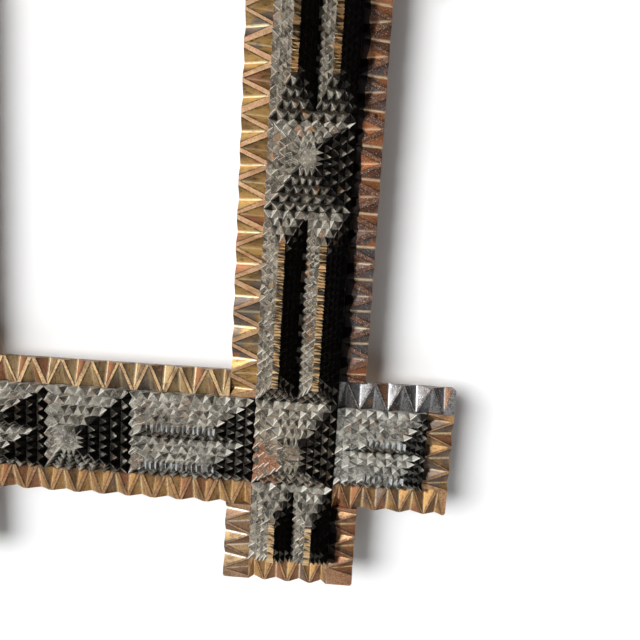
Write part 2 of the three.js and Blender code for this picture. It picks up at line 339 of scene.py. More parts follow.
class Bench:
    """Node tree of one material or sky, with a call for each kind of step."""

    def __init__(self, owner: bpy.types.Material | bpy.types.World) -> None:
        """Starts with an empty tree.

        Args:
            owner: The material or sky.
        """
        self.owner = owner
        owner.use_nodes = True
        self.tree = owner.node_tree
        self.tree.nodes.clear()

    def node(self, kind: str, settings: dict | None = None, sockets: dict | None = None) -> bpy.types.Node:
        """Adds one node.

        Args:
            kind: The node's type.
            settings: Properties, which are set first.
            sockets: Values or wires by socket name or number.

        Returns:
            The node.
        """
        made = self.tree.nodes.new(kind)
        for key, value in (settings or {}).items():
            setattr(made, key, value)
        for key, value in (sockets or {}).items():
            if isinstance(value, Wire):
                self.tree.links.new(value.socket, made.inputs[key])
            else:
                made.inputs[key].default_value = value
        return made

    def out(self, made: bpy.types.Node, key: str | int = 0) -> Wire:
        """One output of a node as a wire."""
        return Wire(self, made.outputs[key])

    def maths(self, operation: str, first: Scalar, second: Scalar = 0.0) -> Wire:
        """Math node."""
        return self.out(self.node("ShaderNodeMath", {"operation": operation}, {0: first, 1: second}))

    def blend(self, factor: Scalar, first: "Wire | Colour", second: "Wire | Colour") -> Wire:
        """Mixes two colours.

        Args:
            factor: The share of the second.
            first: The first colour.
            second: The second colour.

        Returns:
            The mixed colour.
        """
        whole = [c if isinstance(c, Wire) else (*c, 1.0) for c in (first, second)]
        made = self.node("ShaderNodeMix", {"data_type": "RGBA"}, {0: factor, 6: whole[0], 7: whole[1]})
        return self.out(made, 2)

    def coats(self, body: "Wire | Colour", *coats: "tuple[Scalar, Wire | Colour]") -> "Wire | Colour":
        """Lays coats of paint over each other.

        Args:
            body: The colour under them.
            coats: The share and the colour of each coat, from the lowest.

        Returns:
            What shows.
        """
        for share, colour in coats:
            body = self.blend(share, body, colour)
        return body

    def ease(self, value: Wire, low: float, high: float) -> Wire:
        """Soft step from 0 at low to 1 at high."""
        settings = {"interpolation_type": "SMOOTHSTEP"}
        return self.out(self.node("ShaderNodeMapRange", settings, {0: value, 1: low, 2: high, 3: 0.0, 4: 1.0}))

    def trait(self, name: str) -> Wire:
        """Number kept on the mesh."""
        return self.out(self.node("ShaderNodeAttribute", {"attribute_name": name}), "Fac")

    def lay(self) -> Wire:
        """Place on the bench, kept on the mesh."""
        return self.out(self.node("ShaderNodeAttribute", {"attribute_name": "lay"}), "Vector")

    def place(self) -> Wire:
        """Place in the frame."""
        return self.out(self.node("ShaderNodeTexCoord"), "Object")

    def stretch(self, vector: Wire, scale: Colour) -> Wire:
        """Vector scaled along each axis."""
        return self.out(self.node("ShaderNodeVectorMath", {"operation": "MULTIPLY"}, {0: vector, 1: scale}))

    def noise(self, vector: Wire, scale: float, detail: float = 3.0, rough: float = 0.55) -> Wire:
        """Cloudy value round 0.5."""
        sockets = {"Vector": vector, "Scale": scale, "Detail": detail, "Roughness": rough}
        return self.out(self.node("ShaderNodeTexNoise", None, sockets))

    def grains(self, vector: Wire, scale: float) -> Wire:
        """Random number for each small cell."""
        made = self.node("ShaderNodeTexVoronoi", None, {"Vector": vector, "Scale": scale})
        return self.out(self.node("ShaderNodeSeparateColor", None, {0: self.out(made, "Color")}))

    def bump(self, height: Wire, strength: float, distance: float) -> Wire:
        """Normal from a height."""
        sockets = {"Height": height, "Strength": strength, "Distance": distance}
        return self.out(self.node("ShaderNodeBump", None, sockets))

    def finish(self, sockets: dict) -> bpy.types.Material:
        """Principled surface on the material's output.

        Args:
            sockets: Values or wires for the surface.

        Returns:
            The material.
        """
        surface = self.node("ShaderNodeBsdfPrincipled", None, sockets)
        self.node("ShaderNodeOutputMaterial", None, {"Surface": self.out(surface)})
        return self.owner


@dataclass(frozen=True)
class BronzedStrip:
    """Carved strip under worn bronze paint: hollows, flat bands, painted highlights along the valleys, a painted
    shadow along an inner edge.

    Shares say how much of the strip a coat covers, and grain how pitted its paint is.
    """

    name: str
    hollow: Colour
    hollow_dark: Colour
    band: Colour
    # colour of the painted highlight along the valley lines
    valley: Colour
    # dirt in brushed streaks, and painted shade in the hollows
    grime_and_shade: Colour = (0.05, 0.028, 0.015)
    # near black of the painted shadow along an inner edge
    painted_shadow: Colour = (0.008, 0.005, 0.004)
    film: Colour = (0.16, 0.15, 0.15)
    film_share: float = 0.2
    speckle: float = 0.15
    spots: Colour = (0.3, 0.11, 0.06)
    spot_share: float = 0.35
    accent: Colour = (0.5, 0.2, 0.09)
    accent_share: float = 0.12
    roughness: float = 0.4
    metallic: float = 0.6
    grain: float = 0.0
    spark: Colour = (0.85, 0.8, 0.7)

    def make(self) -> bpy.types.Material:
        """Builds the material.

        Returns:
            The material.
        """
        b = Bench(bpy.data.materials.new(self.name))
        lay = b.lay()
        cloud = b.noise(b.stretch(lay, (260, 90, 260)), 1.0, 4.0)
        blotch = b.noise(lay, 130.0)
        region = b.noise(lay, 24.0, 1.0)
        brushed = b.noise(b.stretch(lay, (1500, 160, 1500)), 1.0, 2.0)
        fine = b.noise(lay, 900.0, 2.0)
        valley, flat, chance = b.trait("valley"), b.trait("flat"), b.trait("chance")
        carved = 1.0 - flat
        dulled = b.ease(cloud + 0.5 * (chance - 0.5), 0.35, 0.68)
        film = b.ease(blotch + 0.35 * (chance - 0.5) + 1.1 * (region - 0.5), 0.62 - 0.3 * self.film_share, 0.75)
        reach = chance + (blotch - 0.5) * 0.9 - 0.9 * (region - 0.5)
        patch = b.ease(reach, 0.96 - self.accent_share, 1.02 - self.accent_share)
        streaks = b.ease(brushed, 0.5, 0.7) * b.ease(cloud, 0.3, 0.6)
        # painted shade: the hollows' facets darken away from their valley lines
        away = (1.0 - b.ease(valley, 0.0, 0.75)) * carved
        # painted highlight along each hollow's valley line, stronger where the hollow opens at the outer edge
        line = b.ease(valley, 0.84, 0.97) * b.trait("pale") * b.ease(brushed, 0.2, 0.5)
        spots = b.ease(b.grains(lay, 1500.0), 0.78 - 0.4 * self.spot_share, 0.98 - 0.4 * self.spot_share)
        band = b.coats(self.band, (b.ease(cloud, 0.4, 0.75), self.hollow_dark), (spots * 0.75, self.spots))
        # dark line along the hollows' rims beside the flat bands, partly patina and partly painted shadow
        lip = (1.0 - b.ease(b.trait("sunk"), 0.03, 0.17)) * carved
        pitted = b.ease(b.noise(lay, 1100.0, 3.0, 0.7), 0.5, 0.64)
        sparks = b.ease(b.grains(lay, 3600.0), 0.93, 0.99)
        # painted shadow: near black along the inner edge of a strip that stands right of a field, where its ridges
        # cast shade
        painted_shadow = b.ease(b.trait("inner") + 0.34 * (b.noise(lay, 190.0, 1.0) - 0.5), 0.7, 0.74) * 0.97
        painted_shadow = painted_shadow * b.ease(b.trait("beside") + 0.1 * (blotch - 0.5), 0.97, 1.02)
        body = b.coats(
            self.hollow,
            (dulled, self.hollow_dark),
            (film * 0.8, self.film),
            (patch * 0.85, self.accent),
            (streaks * 0.7, self.grime_and_shade),
            (away * (0.25 + 0.5 * b.ease(blotch, 0.3, 0.6)), self.grime_and_shade),
            (line, self.valley),
            (flat * 0.92, band),
            (lip * b.ease(fine, 0.3, 0.55) * 0.85, self.grime_and_shade),
            (pitted * self.grain, self.hollow_dark),
            (sparks * self.speckle, self.spark),
            (painted_shadow, self.painted_shadow),
        )
        height = brushed * 0.5 + cloud * 0.6 + fine * 0.3
        return b.finish({
            "Base Color": body,
            "Roughness": self.roughness + 0.25 * (cloud - 0.5) + 0.15 * (1.0 - chance),
            "Metallic": self.metallic,
            "Normal": b.bump(height, 0.5, 0.3 * MM),
        })


@dataclass(frozen=True)
class NotchedPaint:
    """Notched wood under worn silver-grey paint, with warm wood showing. Its pale upper arrises are rubbed paint
    and partly a painted highlight, its up-facing slopes carry dust and a painted top light, and painted shade
    blackens its right-facing slopes.
    """

    name: str
    light: Colour = (0.56, 0.54, 0.475)
    dark: Colour = (0.09, 0.086, 0.073)
    light_warm: Colour = (0.52, 0.45, 0.345)
    dark_warm: Colour = (0.075, 0.062, 0.045)
    dust: Colour = (0.66, 0.64, 0.57)
    wood: Colour = (0.2, 0.105, 0.05)
    rust: Colour = (0.33, 0.12, 0.045)
    copper: Colour = (0.52, 0.24, 0.09)
    edge: Colour = (0.9, 0.9, 0.84)
    gold: Colour = (0.78, 0.5, 0.21)
    frost: Colour = (0.42, 0.44, 0.46)
    # near black of the painted shade on the slopes that face away from the key light
    painted_shade: Colour = (0.006, 0.0045, 0.0035)

    def make(self) -> bpy.types.Material:
        """Builds the material.

        Returns:
            The material.
        """
        b = Bench(bpy.data.materials.new(self.name))
        lay = b.lay()
        cloud = b.noise(lay, 190.0, 4.0)
        patch = b.noise(lay, 45.0, 2.0)
        fine = b.noise(lay, 1300.0, 3.0, 0.7)
        rough = b.noise(lay, 520.0, 3.0, 0.6)
        facet, arris, crest, worn = b.trait("facet"), b.trait("arris"), b.trait("crest"), b.trait("worn")
        odd = facet - 0.5
        tone = b.ease(facet * 0.35 + cloud * 0.65 + (fine - 0.5) * 0.6 + (rough - 0.5) * 0.4, 0.25, 0.8)
        rusted = b.trait("rust") * b.ease(cloud + odd * 0.5, 0.42, 0.6)
        # pale dust on up-facing slopes, partly a painted top light
        dust_and_top_light = b.trait("dust") * b.ease(cloud + odd * 0.4, 0.25, 0.7)
        shown = worn * b.ease(patch * 0.6 + facet * 0.4, 0.66, 0.74) * b.ease(fine, 0.35, 0.6)
        # pale upper arrises: rubbed paint, and partly a painted highlight
        rubbed_and_highlit = b.ease(arris, 0.78, 0.97) * b.ease(fine + odd * 0.8, 0.45, 0.6)
        sparks = b.ease(b.grains(lay, 1900.0), 0.9, 0.97)
        gilt = b.ease(cloud + odd, 0.35, 0.6) * 0.75
        # painted shade: near black, matte and not metallic, where the slopes lie in the key light's shade
        painted_shade = b.trait("painted_shade") * 0.995
        # painted highlight on the upper arrises of right-looking facets on down-facing slopes
        painted_edge_highlight = b.trait("painted_edge_highlight") * b.ease(arris, 0.74, 0.9) * b.ease(fine, 0.3, 0.5)
        body = b.coats(
            self.dark,
            (tone, self.light),
            (b.trait("warm"), b.blend(tone, self.dark_warm, self.light_warm)),
            (b.ease(patch + odd * 0.35, 0.6, 0.72) * 0.7, self.wood),
            (rusted * 0.85, self.rust),
            (dust_and_top_light * 0.68, self.dust),
            (b.trait("level") * (0.22 + 0.2 * worn), self.dark_warm),
            (shown * 0.7, self.copper),
            (rubbed_and_highlit * 0.9, self.edge),
            (sparks * 0.3, self.edge),
            (crest * (0.75 - gilt), self.dark_warm),
            (crest * gilt, self.gold),
            (b.trait("frost") * gilt, self.frost),
            (painted_shade, self.painted_shade),
            (painted_edge_highlight * 0.8, self.edge),
        )
        return b.finish({
            "Base Color": body,
            "Roughness": 0.55 + 0.3 * (cloud - 0.5) + 0.4 * painted_shade,
            "Metallic": 0.25 - 0.25 * painted_shade,
            "Specular IOR Level": 0.2,
            "Normal": b.bump(fine * 0.35 + rough * 0.5 + cloud * 0.3, 0.9, 0.6 * MM),
        })


@dataclass(frozen=True)
class OldSoftwood:
    """Dark-stained softwood board with grain along its length and dust in it."""

    name: str
    along: int
    light: Colour = (0.24, 0.145, 0.078)
    dark: Colour = (0.1, 0.055, 0.03)
    dust: Colour = (0.3, 0.27, 0.22)
    drawn_out: float = 0.06

    def make(self) -> bpy.types.Material:
        """Builds the material.

        Returns:
            The material.
        """
        b = Bench(bpy.data.materials.new(self.name))
        place = b.place()
        scale = [1.0, 1.0, 1.0]
        scale[self.along] = self.drawn_out
        drawn = b.stretch(place, tuple(scale))
        wander = b.noise(place, 9.0, 2.0)
        rings = b.maths("SINE", b.noise(drawn, 45.0, 2.0) * 150.0 + wander * 6.0)
        pores = b.noise(drawn, 1500.0, 3.0, 0.7)
        stain = b.noise(b.stretch(place, tuple(0.4 + 0.6 * s for s in scale)), 30.0, 3.0)
        grain = b.ease(rings * 0.22 + pores * 0.9 + stain * 0.6, 0.35, 1.15)
        body = b.blend(grain, self.dark, self.light)
        body = b.blend(b.ease(b.noise(place, 90.0, 5.0, 0.65), 0.55, 0.75) * 0.22, body, self.dust)
        return b.finish({
            "Base Color": body,
            "Roughness": 0.72 + 0.2 * (pores - 0.5),
            "Normal": b.bump(grain + pores * 0.5, 0.3, 0.3 * MM),
        })


@dataclass(frozen=True)
class TarnishedBrass:
    """Brass gone brown in patches, with fine scratches."""

    name: str
    bright: Colour = (0.5, 0.36, 0.17)
    brown: Colour = (0.17, 0.105, 0.05)

    def make(self) -> bpy.types.Material:
        """Builds the material.

        Returns:
            The material.
        """
        b = Bench(bpy.data.materials.new(self.name))
        place = b.place()
        stain = b.ease(b.noise(place, 300.0, 5.0, 0.7), 0.3, 0.72)
        scratch = b.noise(b.stretch(place, (6000, 6000, 300)), 1.0, 2.0)
        return b.finish({
            "Base Color": b.blend(stain, self.bright, self.brown),
            "Metallic": 1.0 - 0.5 * stain,
            "Roughness": 0.28 + 0.35 * stain,
            "Normal": b.bump(scratch * 0.5 + stain, 0.2, 0.08 * MM),
        })


@dataclass(frozen=True)
class Limewash:
    """Plain white surface of the wall or floor, lifted a little where the camera sees it.

    one_sided makes it clear from behind and to shadow rays.
    """

    name: str
    colour: Colour = (0.9, 0.9, 0.9)
    clouded: float = 0.985
    lift: float = 0.02
    one_sided: bool = False

    def make(self) -> bpy.types.Material:
        """Builds the material.

        Returns:
            The material.
        """
        b = Bench(bpy.data.materials.new(self.name))
        cloud = b.noise(b.place(), 6.0, 2.0)
        colour = b.blend(b.ease(cloud, 0.3, 0.7), self.colour, tuple(c * self.clouded for c in self.colour))
        lit = b.node("ShaderNodeBsdfDiffuse", None, {"Color": colour})
        path = b.node("ShaderNodeLightPath")
        seen = b.maths("MAXIMUM", b.out(path, "Is Camera Ray"), b.out(path, "Is Glossy Ray"))
        seen = b.maths("MAXIMUM", seen, b.out(path, "Is Transmission Ray"))
        glow = b.node("ShaderNodeEmission", None, {"Color": (1, 1, 1, 1), "Strength": seen * self.lift})
        surface = b.out(b.node("ShaderNodeAddShader", None, {0: b.out(lit), 1: b.out(glow)}))
        if self.one_sided:
            back = b.out(b.node("ShaderNodeNewGeometry"), "Backfacing")
            clear = b.maths("MAXIMUM", back, b.out(path, "Is Shadow Ray"))
            through = b.node("ShaderNodeBsdfTransparent")
            surface = b.out(b.node("ShaderNodeMixShader", None, {0: clear, 1: surface, 2: b.out(through)}))
        b.node("ShaderNodeOutputMaterial", None, {"Surface": surface})
        return b.owner


# ---- the frame's plan


@dataclass(frozen=True)
class Plan:
    """Sizes shared by all sub-assemblies, as the solids have them."""

    stile_u: float = 109 * MM
    rail_v: float = 140 * MM
    half_stile: float = 35 * MM
    half_rail: float = 36 * MM
    half_ear: float = 34 * MM
    side_ear_end: float = 190.5 * MM
    upright_ear_end: float = 218 * MM
    border_width: float = 13.6 * MM
    board_top: float = 10 * MM
    border_top: float = 14.5 * MM
    seam: float = 0.3 * MM
    layer: float = 3.8 * MM
    plateau: float = 14.6 * MM

    @property
    def stile_field(self) -> float:
        """Half width of a stile's field."""
        return self.half_stile - self.border_width

    @property
    def rail_field(self) -> float:
        """Half width of a rail's field."""
        return self.half_rail - self.border_width

    @property
    def ear_field(self) -> float:
        """Half width of a side ear's field."""
        return self.half_ear - self.border_width

    def stand(self, u: float, v: float, turn: float) -> Matrix:
        """Place on the standing frame of a piece from the bench.

        Args:
            u: How far right its middle goes.
            v: How far up its middle goes, from the middle of the sight opening.
            turn: Turn on the bench, in degrees.

        Returns:
            The matrix.
        """
        upright = Matrix(((1, 0, 0, 0), (0, 0, -1, 0), (0, 1, 0, -self.rail_v), (0, 0, 0, 1)))
        return upright @ Matrix.Translation((u, v, 0)) @ Matrix.Rotation(math.radians(turn), 4, "Z")


def take_over(piece: bpy.types.Object, node: str, body: str, material: bpy.types.Material) -> None:
    """Gives a finished piece its material, and lets it stand for a solid.

    Args:
        piece: The finished piece, at the origin.
        node: The solid it replaces.
        body: The body it rides on.
        material: Its finish.
    """
    piece.data.materials.clear()
    piece.data.materials.append(material)
    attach(piece, body)
    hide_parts(node)
    LOG.info("%s stands for %s: %d faces", piece.name, node, len(piece.data.polygons))


@dataclass(frozen=True)
class RidgeCut:
    """How a pair of ridges is cut: tooth pitch, tick pitch and bite of its crests, and steps of its hips.

    hips are the steps at the low and the high end of v; shifts are how far each ridge is set to the right.
    """

    tooth: float
    tick: float
    bite: float
    hips: tuple[float, float]
    shifts: tuple[float, float] = (0.0, 0.0)


@dataclass
class NotchedFields:
    """Stacked layers between the border strips: limb fields, crossing blocks and ear blocks.

    Ends with _from are shares of a unit normal along an axis, or an angle in degrees. shade is how much painted
    shade, near black, a facet gets, by the slope that it belongs to and by whether it looks to the right itself.
    """

    plan: Plan
    dice: random.Random
    block_counts: tuple[int, ...] = (7, 6, 6, 5, 4)
    hip_counts: tuple[int, ...] = (4, 3, 2)
    floor_pitch: float = 5.8 * MM
    crest_width: float = 3.6 * MM
    crest_waist: float = 0.72
    ridge_valley: float = 0.8 * MM
    sunk: float = 0.06 * MM
    corner_share: float = 1.08
    end_share: float = 0.6
    wander: float = 0.05
    bite_range: tuple[float, float] = (0.9, 1.02)
    tick_wander: float = 0.12
    hand: float = 0.2 * MM
    softness: float = 0.22 * MM
    softened_from: float = 25.0
    plinth_ease: float = 0.25 * MM
    hip_reach: float = 1.5 * MM
    lee_start: float = -1.5 * MM
    lee_clear: float = 2.2
    level_from: float = 0.98
    side_from: float = 0.7
    facing_from: float = 0.2
    rust_left_of: float = -7 * MM
    rust_below: float = 2 * MM
    # painted shade: share of near black that stands in for the key light's shade, by slope and facing
    shade: dict[tuple[Slope, bool], float] = field(default_factory=lambda: {
        (Slope.RIGHT, True): 1.0,
        (Slope.RIGHT, False): 1.0,
        (Slope.UP, True): 0.12,
        (Slope.LEFT, True): 0.3,
        (Slope.DOWN, True): 0.85,
        (Slope.DOWN, False): 0.04,
        (Slope.LEE, False): 1.0,
    })
    stile_cuts: tuple[RidgeCut, ...] = (
        RidgeCut(4.0 * MM, 1.5 * MM, 1.4 * MM, (2.7 * MM, 4.2 * MM), (-0.6 * MM, 0.6 * MM)),
        RidgeCut(4.0 * MM, 1.5 * MM, 1.4 * MM, (3.8 * MM, 2.7 * MM), (1.0 * MM, 1.7 * MM)),
    )
    rail_cuts: tuple[RidgeCut, ...] = (
        RidgeCut(5.2 * MM, 2.6 * MM, 1.3 * MM, (4.0 * MM, 3.3 * MM)),
        RidgeCut(5.2 * MM, 2.6 * MM, 1.3 * MM, (3.3 * MM, 4.0 * MM)),
    )
    ear_cuts: tuple[RidgeCut, ...] = (
        RidgeCut(5.2 * MM, 2.6 * MM, 1.2 * MM, (3.3 * MM, 3.6 * MM)),
        RidgeCut(4.0 * MM, 1.5 * MM, 1.2 * MM, (2.3 * MM, 3.0 * MM), (1.2 * MM, 1.2 * MM)),
    )
    paint: NotchedPaint = field(default_factory=lambda: NotchedPaint("worn_silver_grey"))
    material: bpy.types.Material = field(init=False)

    def stops(self, half: float, notches: int, depth: float) -> list[float]:
        """Places along one side: its corner, then notch and tooth in turn, and the other corner.

        Args:
            half: Half the side's length.
            notches: How many notches it has.
            depth: How deep they are.

        Returns:
            The places, from the lowest.
        """
        pitch = 2 * half / notches
        reach = half - max(self.corner_share * depth, self.end_share * pitch)
        wander = self.wander * pitch
        middles = [reach * (2 * i / (notches - 1) - 1) for i in range(notches)] if notches > 1 else [0.0]
        middles = [m + self.dice.uniform(-wander, wander) for m in middles]
        row = [-half]
        for i, middle in enumerate(middles):
            row.append(middle)
            last = i == notches - 1
            row.append(half if last else (middle + middles[i + 1]) / 2 + self.dice.uniform(-wander, wander))
        return row

    def layer(self, half_u: float, half_v: float, depth: float, count_u: int, count_v: int,
              ends: tuple[float, float] | None = None) -> bpy.types.Object:
        """One layer of thin wood, notched with a knife all round its edge, with its lower face at zero.

        Args:
            half_u: Half its width.
            half_v: Half its length.
            depth: How deep the notches are at the top face.
            count_u: Notches on each side that runs along u.
            count_v: Notches on each side that runs along v.
            ends: How deep they are at the low and the high end of v, where that differs.

        Returns:
            The layer.
        """
        ends = ends or (depth, depth)
        cells = (2 * count_u, 2 * count_v)
        stops = (self.stops(half_u, count_u, depth), self.stops(half_v, count_v, max(depth, *ends)))
        made = grid(*cells)
        deep: dict[tuple[float, float], tuple[float, float]] = {}
        for vertex in made.data.vertices:
            steps = [round((vertex.co[axis] + 1) / 2 * cells[axis]) for axis in (0, 1)]
            vertex.co.x, vertex.co.y = stops[0][steps[0]], stops[1][steps[1]]
            for axis, other in ((0, 1), (1, 0)):
                if steps[axis] % 2 == 1 and steps[other] in (0, cells[other]):
                    inward = [0.0, 0.0]
                    side = 1 if steps[other] == 0 else -1
                    bite = depth if other == 0 else ends[0 if side > 0 else 1]
                    inward[other] = side * bite * self.dice.uniform(*self.bite_range)
                    deep[spot_key(vertex.co)] = (inward[0], inward[1])
        with shaping(made):
            rim = (half_u - TINY, half_v - TINY)
            pick(made, Part.VERTS, lambda v: abs(v.co.x) < rim[0] and abs(v.co.y) < rim[1])
            bpy.ops.mesh.delete(type="VERT")
            pick_all()
            bpy.ops.mesh.edge_face_add()
            pick_all()
            raise_up(self.plan.layer + self.sunk)
            mesh = bmesh.from_edit_mesh(made.data)
            for vertex in mesh.verts:
                if vertex.co.z > self.sunk:
                    inward = deep.get(spot_key(vertex.co), (0.0, 0.0))
                    vertex.co += Vector((*inward, 0.0))
            bmesh.update_edit_mesh(made.data)
            self.bed_down()
        self.note_arris(made, self.plan.layer)
        return made

    def bed_down(self) -> None:
        """Makes triangles of a shape's faces, turns them outwards and sinks the shape into what lies below it."""
        pick_all()
        bpy.ops.mesh.quads_convert_to_tris(quad_method="SHORTEST_DIAGONAL", ngon_method="BEAUTY")
        turn_out()
        shift((0, 0, -self.sunk))

    def note_arris(self, piece: bpy.types.Object, top: float) -> None:
        """Marks how near each corner of a face is to the upper arris, and which slope each face belongs to.

        A facet beside a hip is also marked with the slope beyond it, as 1 more than that slope's number.

        Args:
            piece: A layer, crest or plinth, with its middle over the bench's.
            top: The height of its upper arris.
        """
        mesh = piece.data
        reach = [max(abs(v.co[axis]) for v in mesh.vertices) for axis in (0, 1)]
        arris, sides, beyond = [], [], []
        for face in mesh.polygons:
            level = abs(face.normal.z) > self.level_from
            arris += [0.0 if level else max(0.0, mesh.vertices[i].co.z / top) for i in face.vertices]
            u, v = face.center.x, face.center.y
            margin = reach[1] - abs(v) - reach[0] + abs(u)
            near = (Slope.RIGHT if u > 0 else Slope.LEFT, Slope.UP if v > 0 else Slope.DOWN)
            own, other = near if margin > 0 else reversed(near)
            sides.append(float(Slope.LEVEL if level else own))
            beyond.append(0.0 if level or abs(margin) > self.hip_reach else 1.0 + other)
        mark(piece, "arris", "CORNER", arris)
        mark(piece, "crest", "FACE", [0.0] * len(mesh.polygons))
        mark(piece, "side", "FACE", sides)
        mark(piece, "beyond", "FACE", beyond)

    def note_lee(self, piece: bpy.types.Object, start: float, clear: float) -> None:
        """Marks the level faces that lie in a ridge's shade when the light is from the left.

        Args:
            piece: A layer under or in a ridge.
            start: Where along u the shade starts.
            clear: How far it stays from both ends.
        """
        sides = piece.data.attributes["side"].data
        end = max(v.co.y for v in piece.data.vertices) - clear
        for face, entry in zip(piece.data.polygons, sides):
            if entry.value < 0 and face.center.x > start and abs(face.center.y) < end:
                entry.value = float(Slope.LEE)

    def crest(self, width: float, length: float, pitch: float, bite: float) -> bpy.types.Object:
        """Strip along the top of a ridge, with ticks cut across it.

        Args:
            width: Across the ridge.
            length: Along the ridge.
            pitch: From tick to tick.
            bite: How deep the ticks are.

        Returns:
            The strip, running along v, with its lower face at zero.
        """
        ticks = max(1, round(length / pitch))
        made = grid(1, 2 * ticks)
        wander = self.tick_wander
        jitter = [self.dice.uniform(-wander, wander) * pitch for _ in range(2 * ticks + 1)]
        jitter[0] = jitter[-1] = 0.0
        steps = [round((v.co.y + 1) * ticks) for v in made.data.vertices]
        for vertex, step in zip(made.data.vertices, steps):
            vertex.co.x *= width / 2
            vertex.co.y = vertex.co.y * length / 2 + jitter[step]
        low = {round(made.data.vertices[i].co.y, 7) for i, step in enumerate(steps) if step % 2 == 1}
        with shaping(made):
            raise_up(self.plan.layer + self.sunk)
            pick(made, Part.VERTS, lambda v: v.co.z > self.sunk and round(v.co.y, 7) in low)
            shift((0, 0, -bite))
            squeeze((self.crest_waist, 1, 1))
            self.bed_down()
        self.note_arris(made, self.plan.layer)
        normals = [face.normal.copy() for face in made.data.polygons]
        mark(made, "crest", "FACE", [float(n.z > self.facing_from) for n in normals])
        slopes = [Slope.RIGHT if n.x >= self.side_from else Slope.LEFT if n.x <= -self.side_from else Slope.LEVEL
                  for n in normals]
        mark(made, "side", "FACE", slopes)
        return made

    def lifted(self, piece: bpy.types.Object, u: float, v: float, h: float) -> bpy.types.Object:
        """Moves a piece on the bench and settles it there."""
        settle(piece, Matrix.Translation((u, v, h)))
        return piece

    def ledge(self, half: float) -> float:
        """What each layer of a block leaves of the one below."""
        return (half - self.plan.plateau / 2) / (len(self.block_counts) - 1)

    def plinth(self, half_u: float, half_v: float) -> bpy.types.Object:
        """Slab that lifts the notched layers level with the border strips, with eased upright edges.

        Args:
            half_u: Half its width.
            half_v: Half its length.

        Returns:
            The slab, on the boards' height.
        """
        height = self.plan.border_top - self.plan.board_top
        made = cuboid((2 * half_u, 2 * half_v, height), (0, 0, height / 2))
        with shaping(made):
            pick(made, Part.EDGES, standing)
            ease_edges(self.plinth_ease, 1)
        self.note_arris(made, height)
        return self.lifted(made, 0, 0, self.plan.board_top)

    def block(self, half_u: float, half_v: float) -> list[bpy.types.Object]:
        """Stepped block of ever smaller layers with ever finer notches.

        Args:
            half_u: Half the width of its lowest layer.
            half_v: Half its length.

        Returns:
            The layers, from the lowest.
        """
        step = self.ledge(min(half_u, half_v))
        layers = []
        for i, count in enumerate(self.block_counts):
            layer = self.layer(half_u - i * step, half_v - i * step, step, count, count)
            layers.append(self.lifted(layer, 0, 0, self.plan.border_top + i * self.plan.layer))
        return layers

    def ridge_pair(self, half_u: float, half_v: float, cut: RidgeCut) -> list[bpy.types.Object]:
        """One full layer that carries two hipped ridges side by side, along v.

        Args:
            half_u: Half the width of the full layer.
            half_v: Half its length.
            cut: How the ridges are cut.

        Returns:
            The layers and crests.
        """
        plan = self.plan
        ledge = self.ledge(half_u)
        foot_u = (2 * (half_u - ledge) - self.ridge_valley) / 2
        levels = len(self.hip_counts)
        step = (foot_u - self.crest_width) / (2 * levels)
        low = plan.border_top
        across, along = (max(2, round(2 * half / self.floor_pitch)) for half in (half_u, half_v))
        full = self.layer(half_u, half_v, ledge, across, along, cut.hips)
        clear = self.lee_clear * max(cut.hips)
        self.note_lee(full, self.lee_start, clear)
        pieces = [self.lifted(full, 0, 0, low)]
        for side, shift_u in zip((-1, 1), cut.shifts):
            across_at = side * (foot_u + self.ridge_valley) / 2 + shift_u
            for i in range(levels + 1):
                start, end = (i + 1) * cut.hips[0] - half_v, half_v - (i + 1) * cut.hips[1]
                if i == levels:
                    layer = self.crest(self.crest_width, end - start, cut.tick, cut.bite)
                else:
                    teeth = max(1, round((end - start) / cut.tooth))
                    half_width = foot_u / 2 - i * step
                    layer = self.layer(half_width, (end - start) / 2, step, self.hip_counts[i], teeth, cut.hips)
                    self.note_lee(layer, 0.0, clear)
                pieces.append(self.lifted(layer, across_at, (start + end) / 2, low + (i + 1) * plan.layer))
        return pieces

    def limb(self, name: str, half: float, span: float, low_cut: RidgeCut, high_cut: RidgeCut) -> bpy.types.Object:
        """Field between two crossings, along v: a ridge pair, a square block and a second ridge pair.

        Args:
            name: The field's name.
            half: Half its width.
            span: Half its length.
            low_cut: How the pair at the low end of v is cut.
            high_cut: How the pair at its high end is cut.

        Returns:
            The field.
        """
        half_u = half - self.plan.seam
        ridge_half = (span - half) / 2 - self.plan.seam / 2
        ridge_v = (span + half) / 2
        pieces = [self.plinth(half_u, span - self.plan.seam), *self.block(half_u, half - self.plan.seam / 2)]
        for cut, middle in ((low_cut, -ridge_v), (high_cut, ridge_v)):
            pair = joined(self.ridge_pair(half_u, ridge_half, cut), name + "_pair")
            pieces.append(self.lifted(pair, 0, middle, 0))
        return joined(pieces, name)

    def soften(self, piece: bpy.types.Object) -> None:
        """Takes the sharpness off the arrises, as old paint does.

        Args:
            piece: The piece.
        """
        choose(piece)
        step = piece.modifiers.new("step", "BEVEL")
        step.width = self.softness
        step.segments = 1
        step.limit_method = "ANGLE"
        step.angle_limit = math.radians(self.softened_from)
        bpy.ops.object.modifier_apply(modifier=step.name)

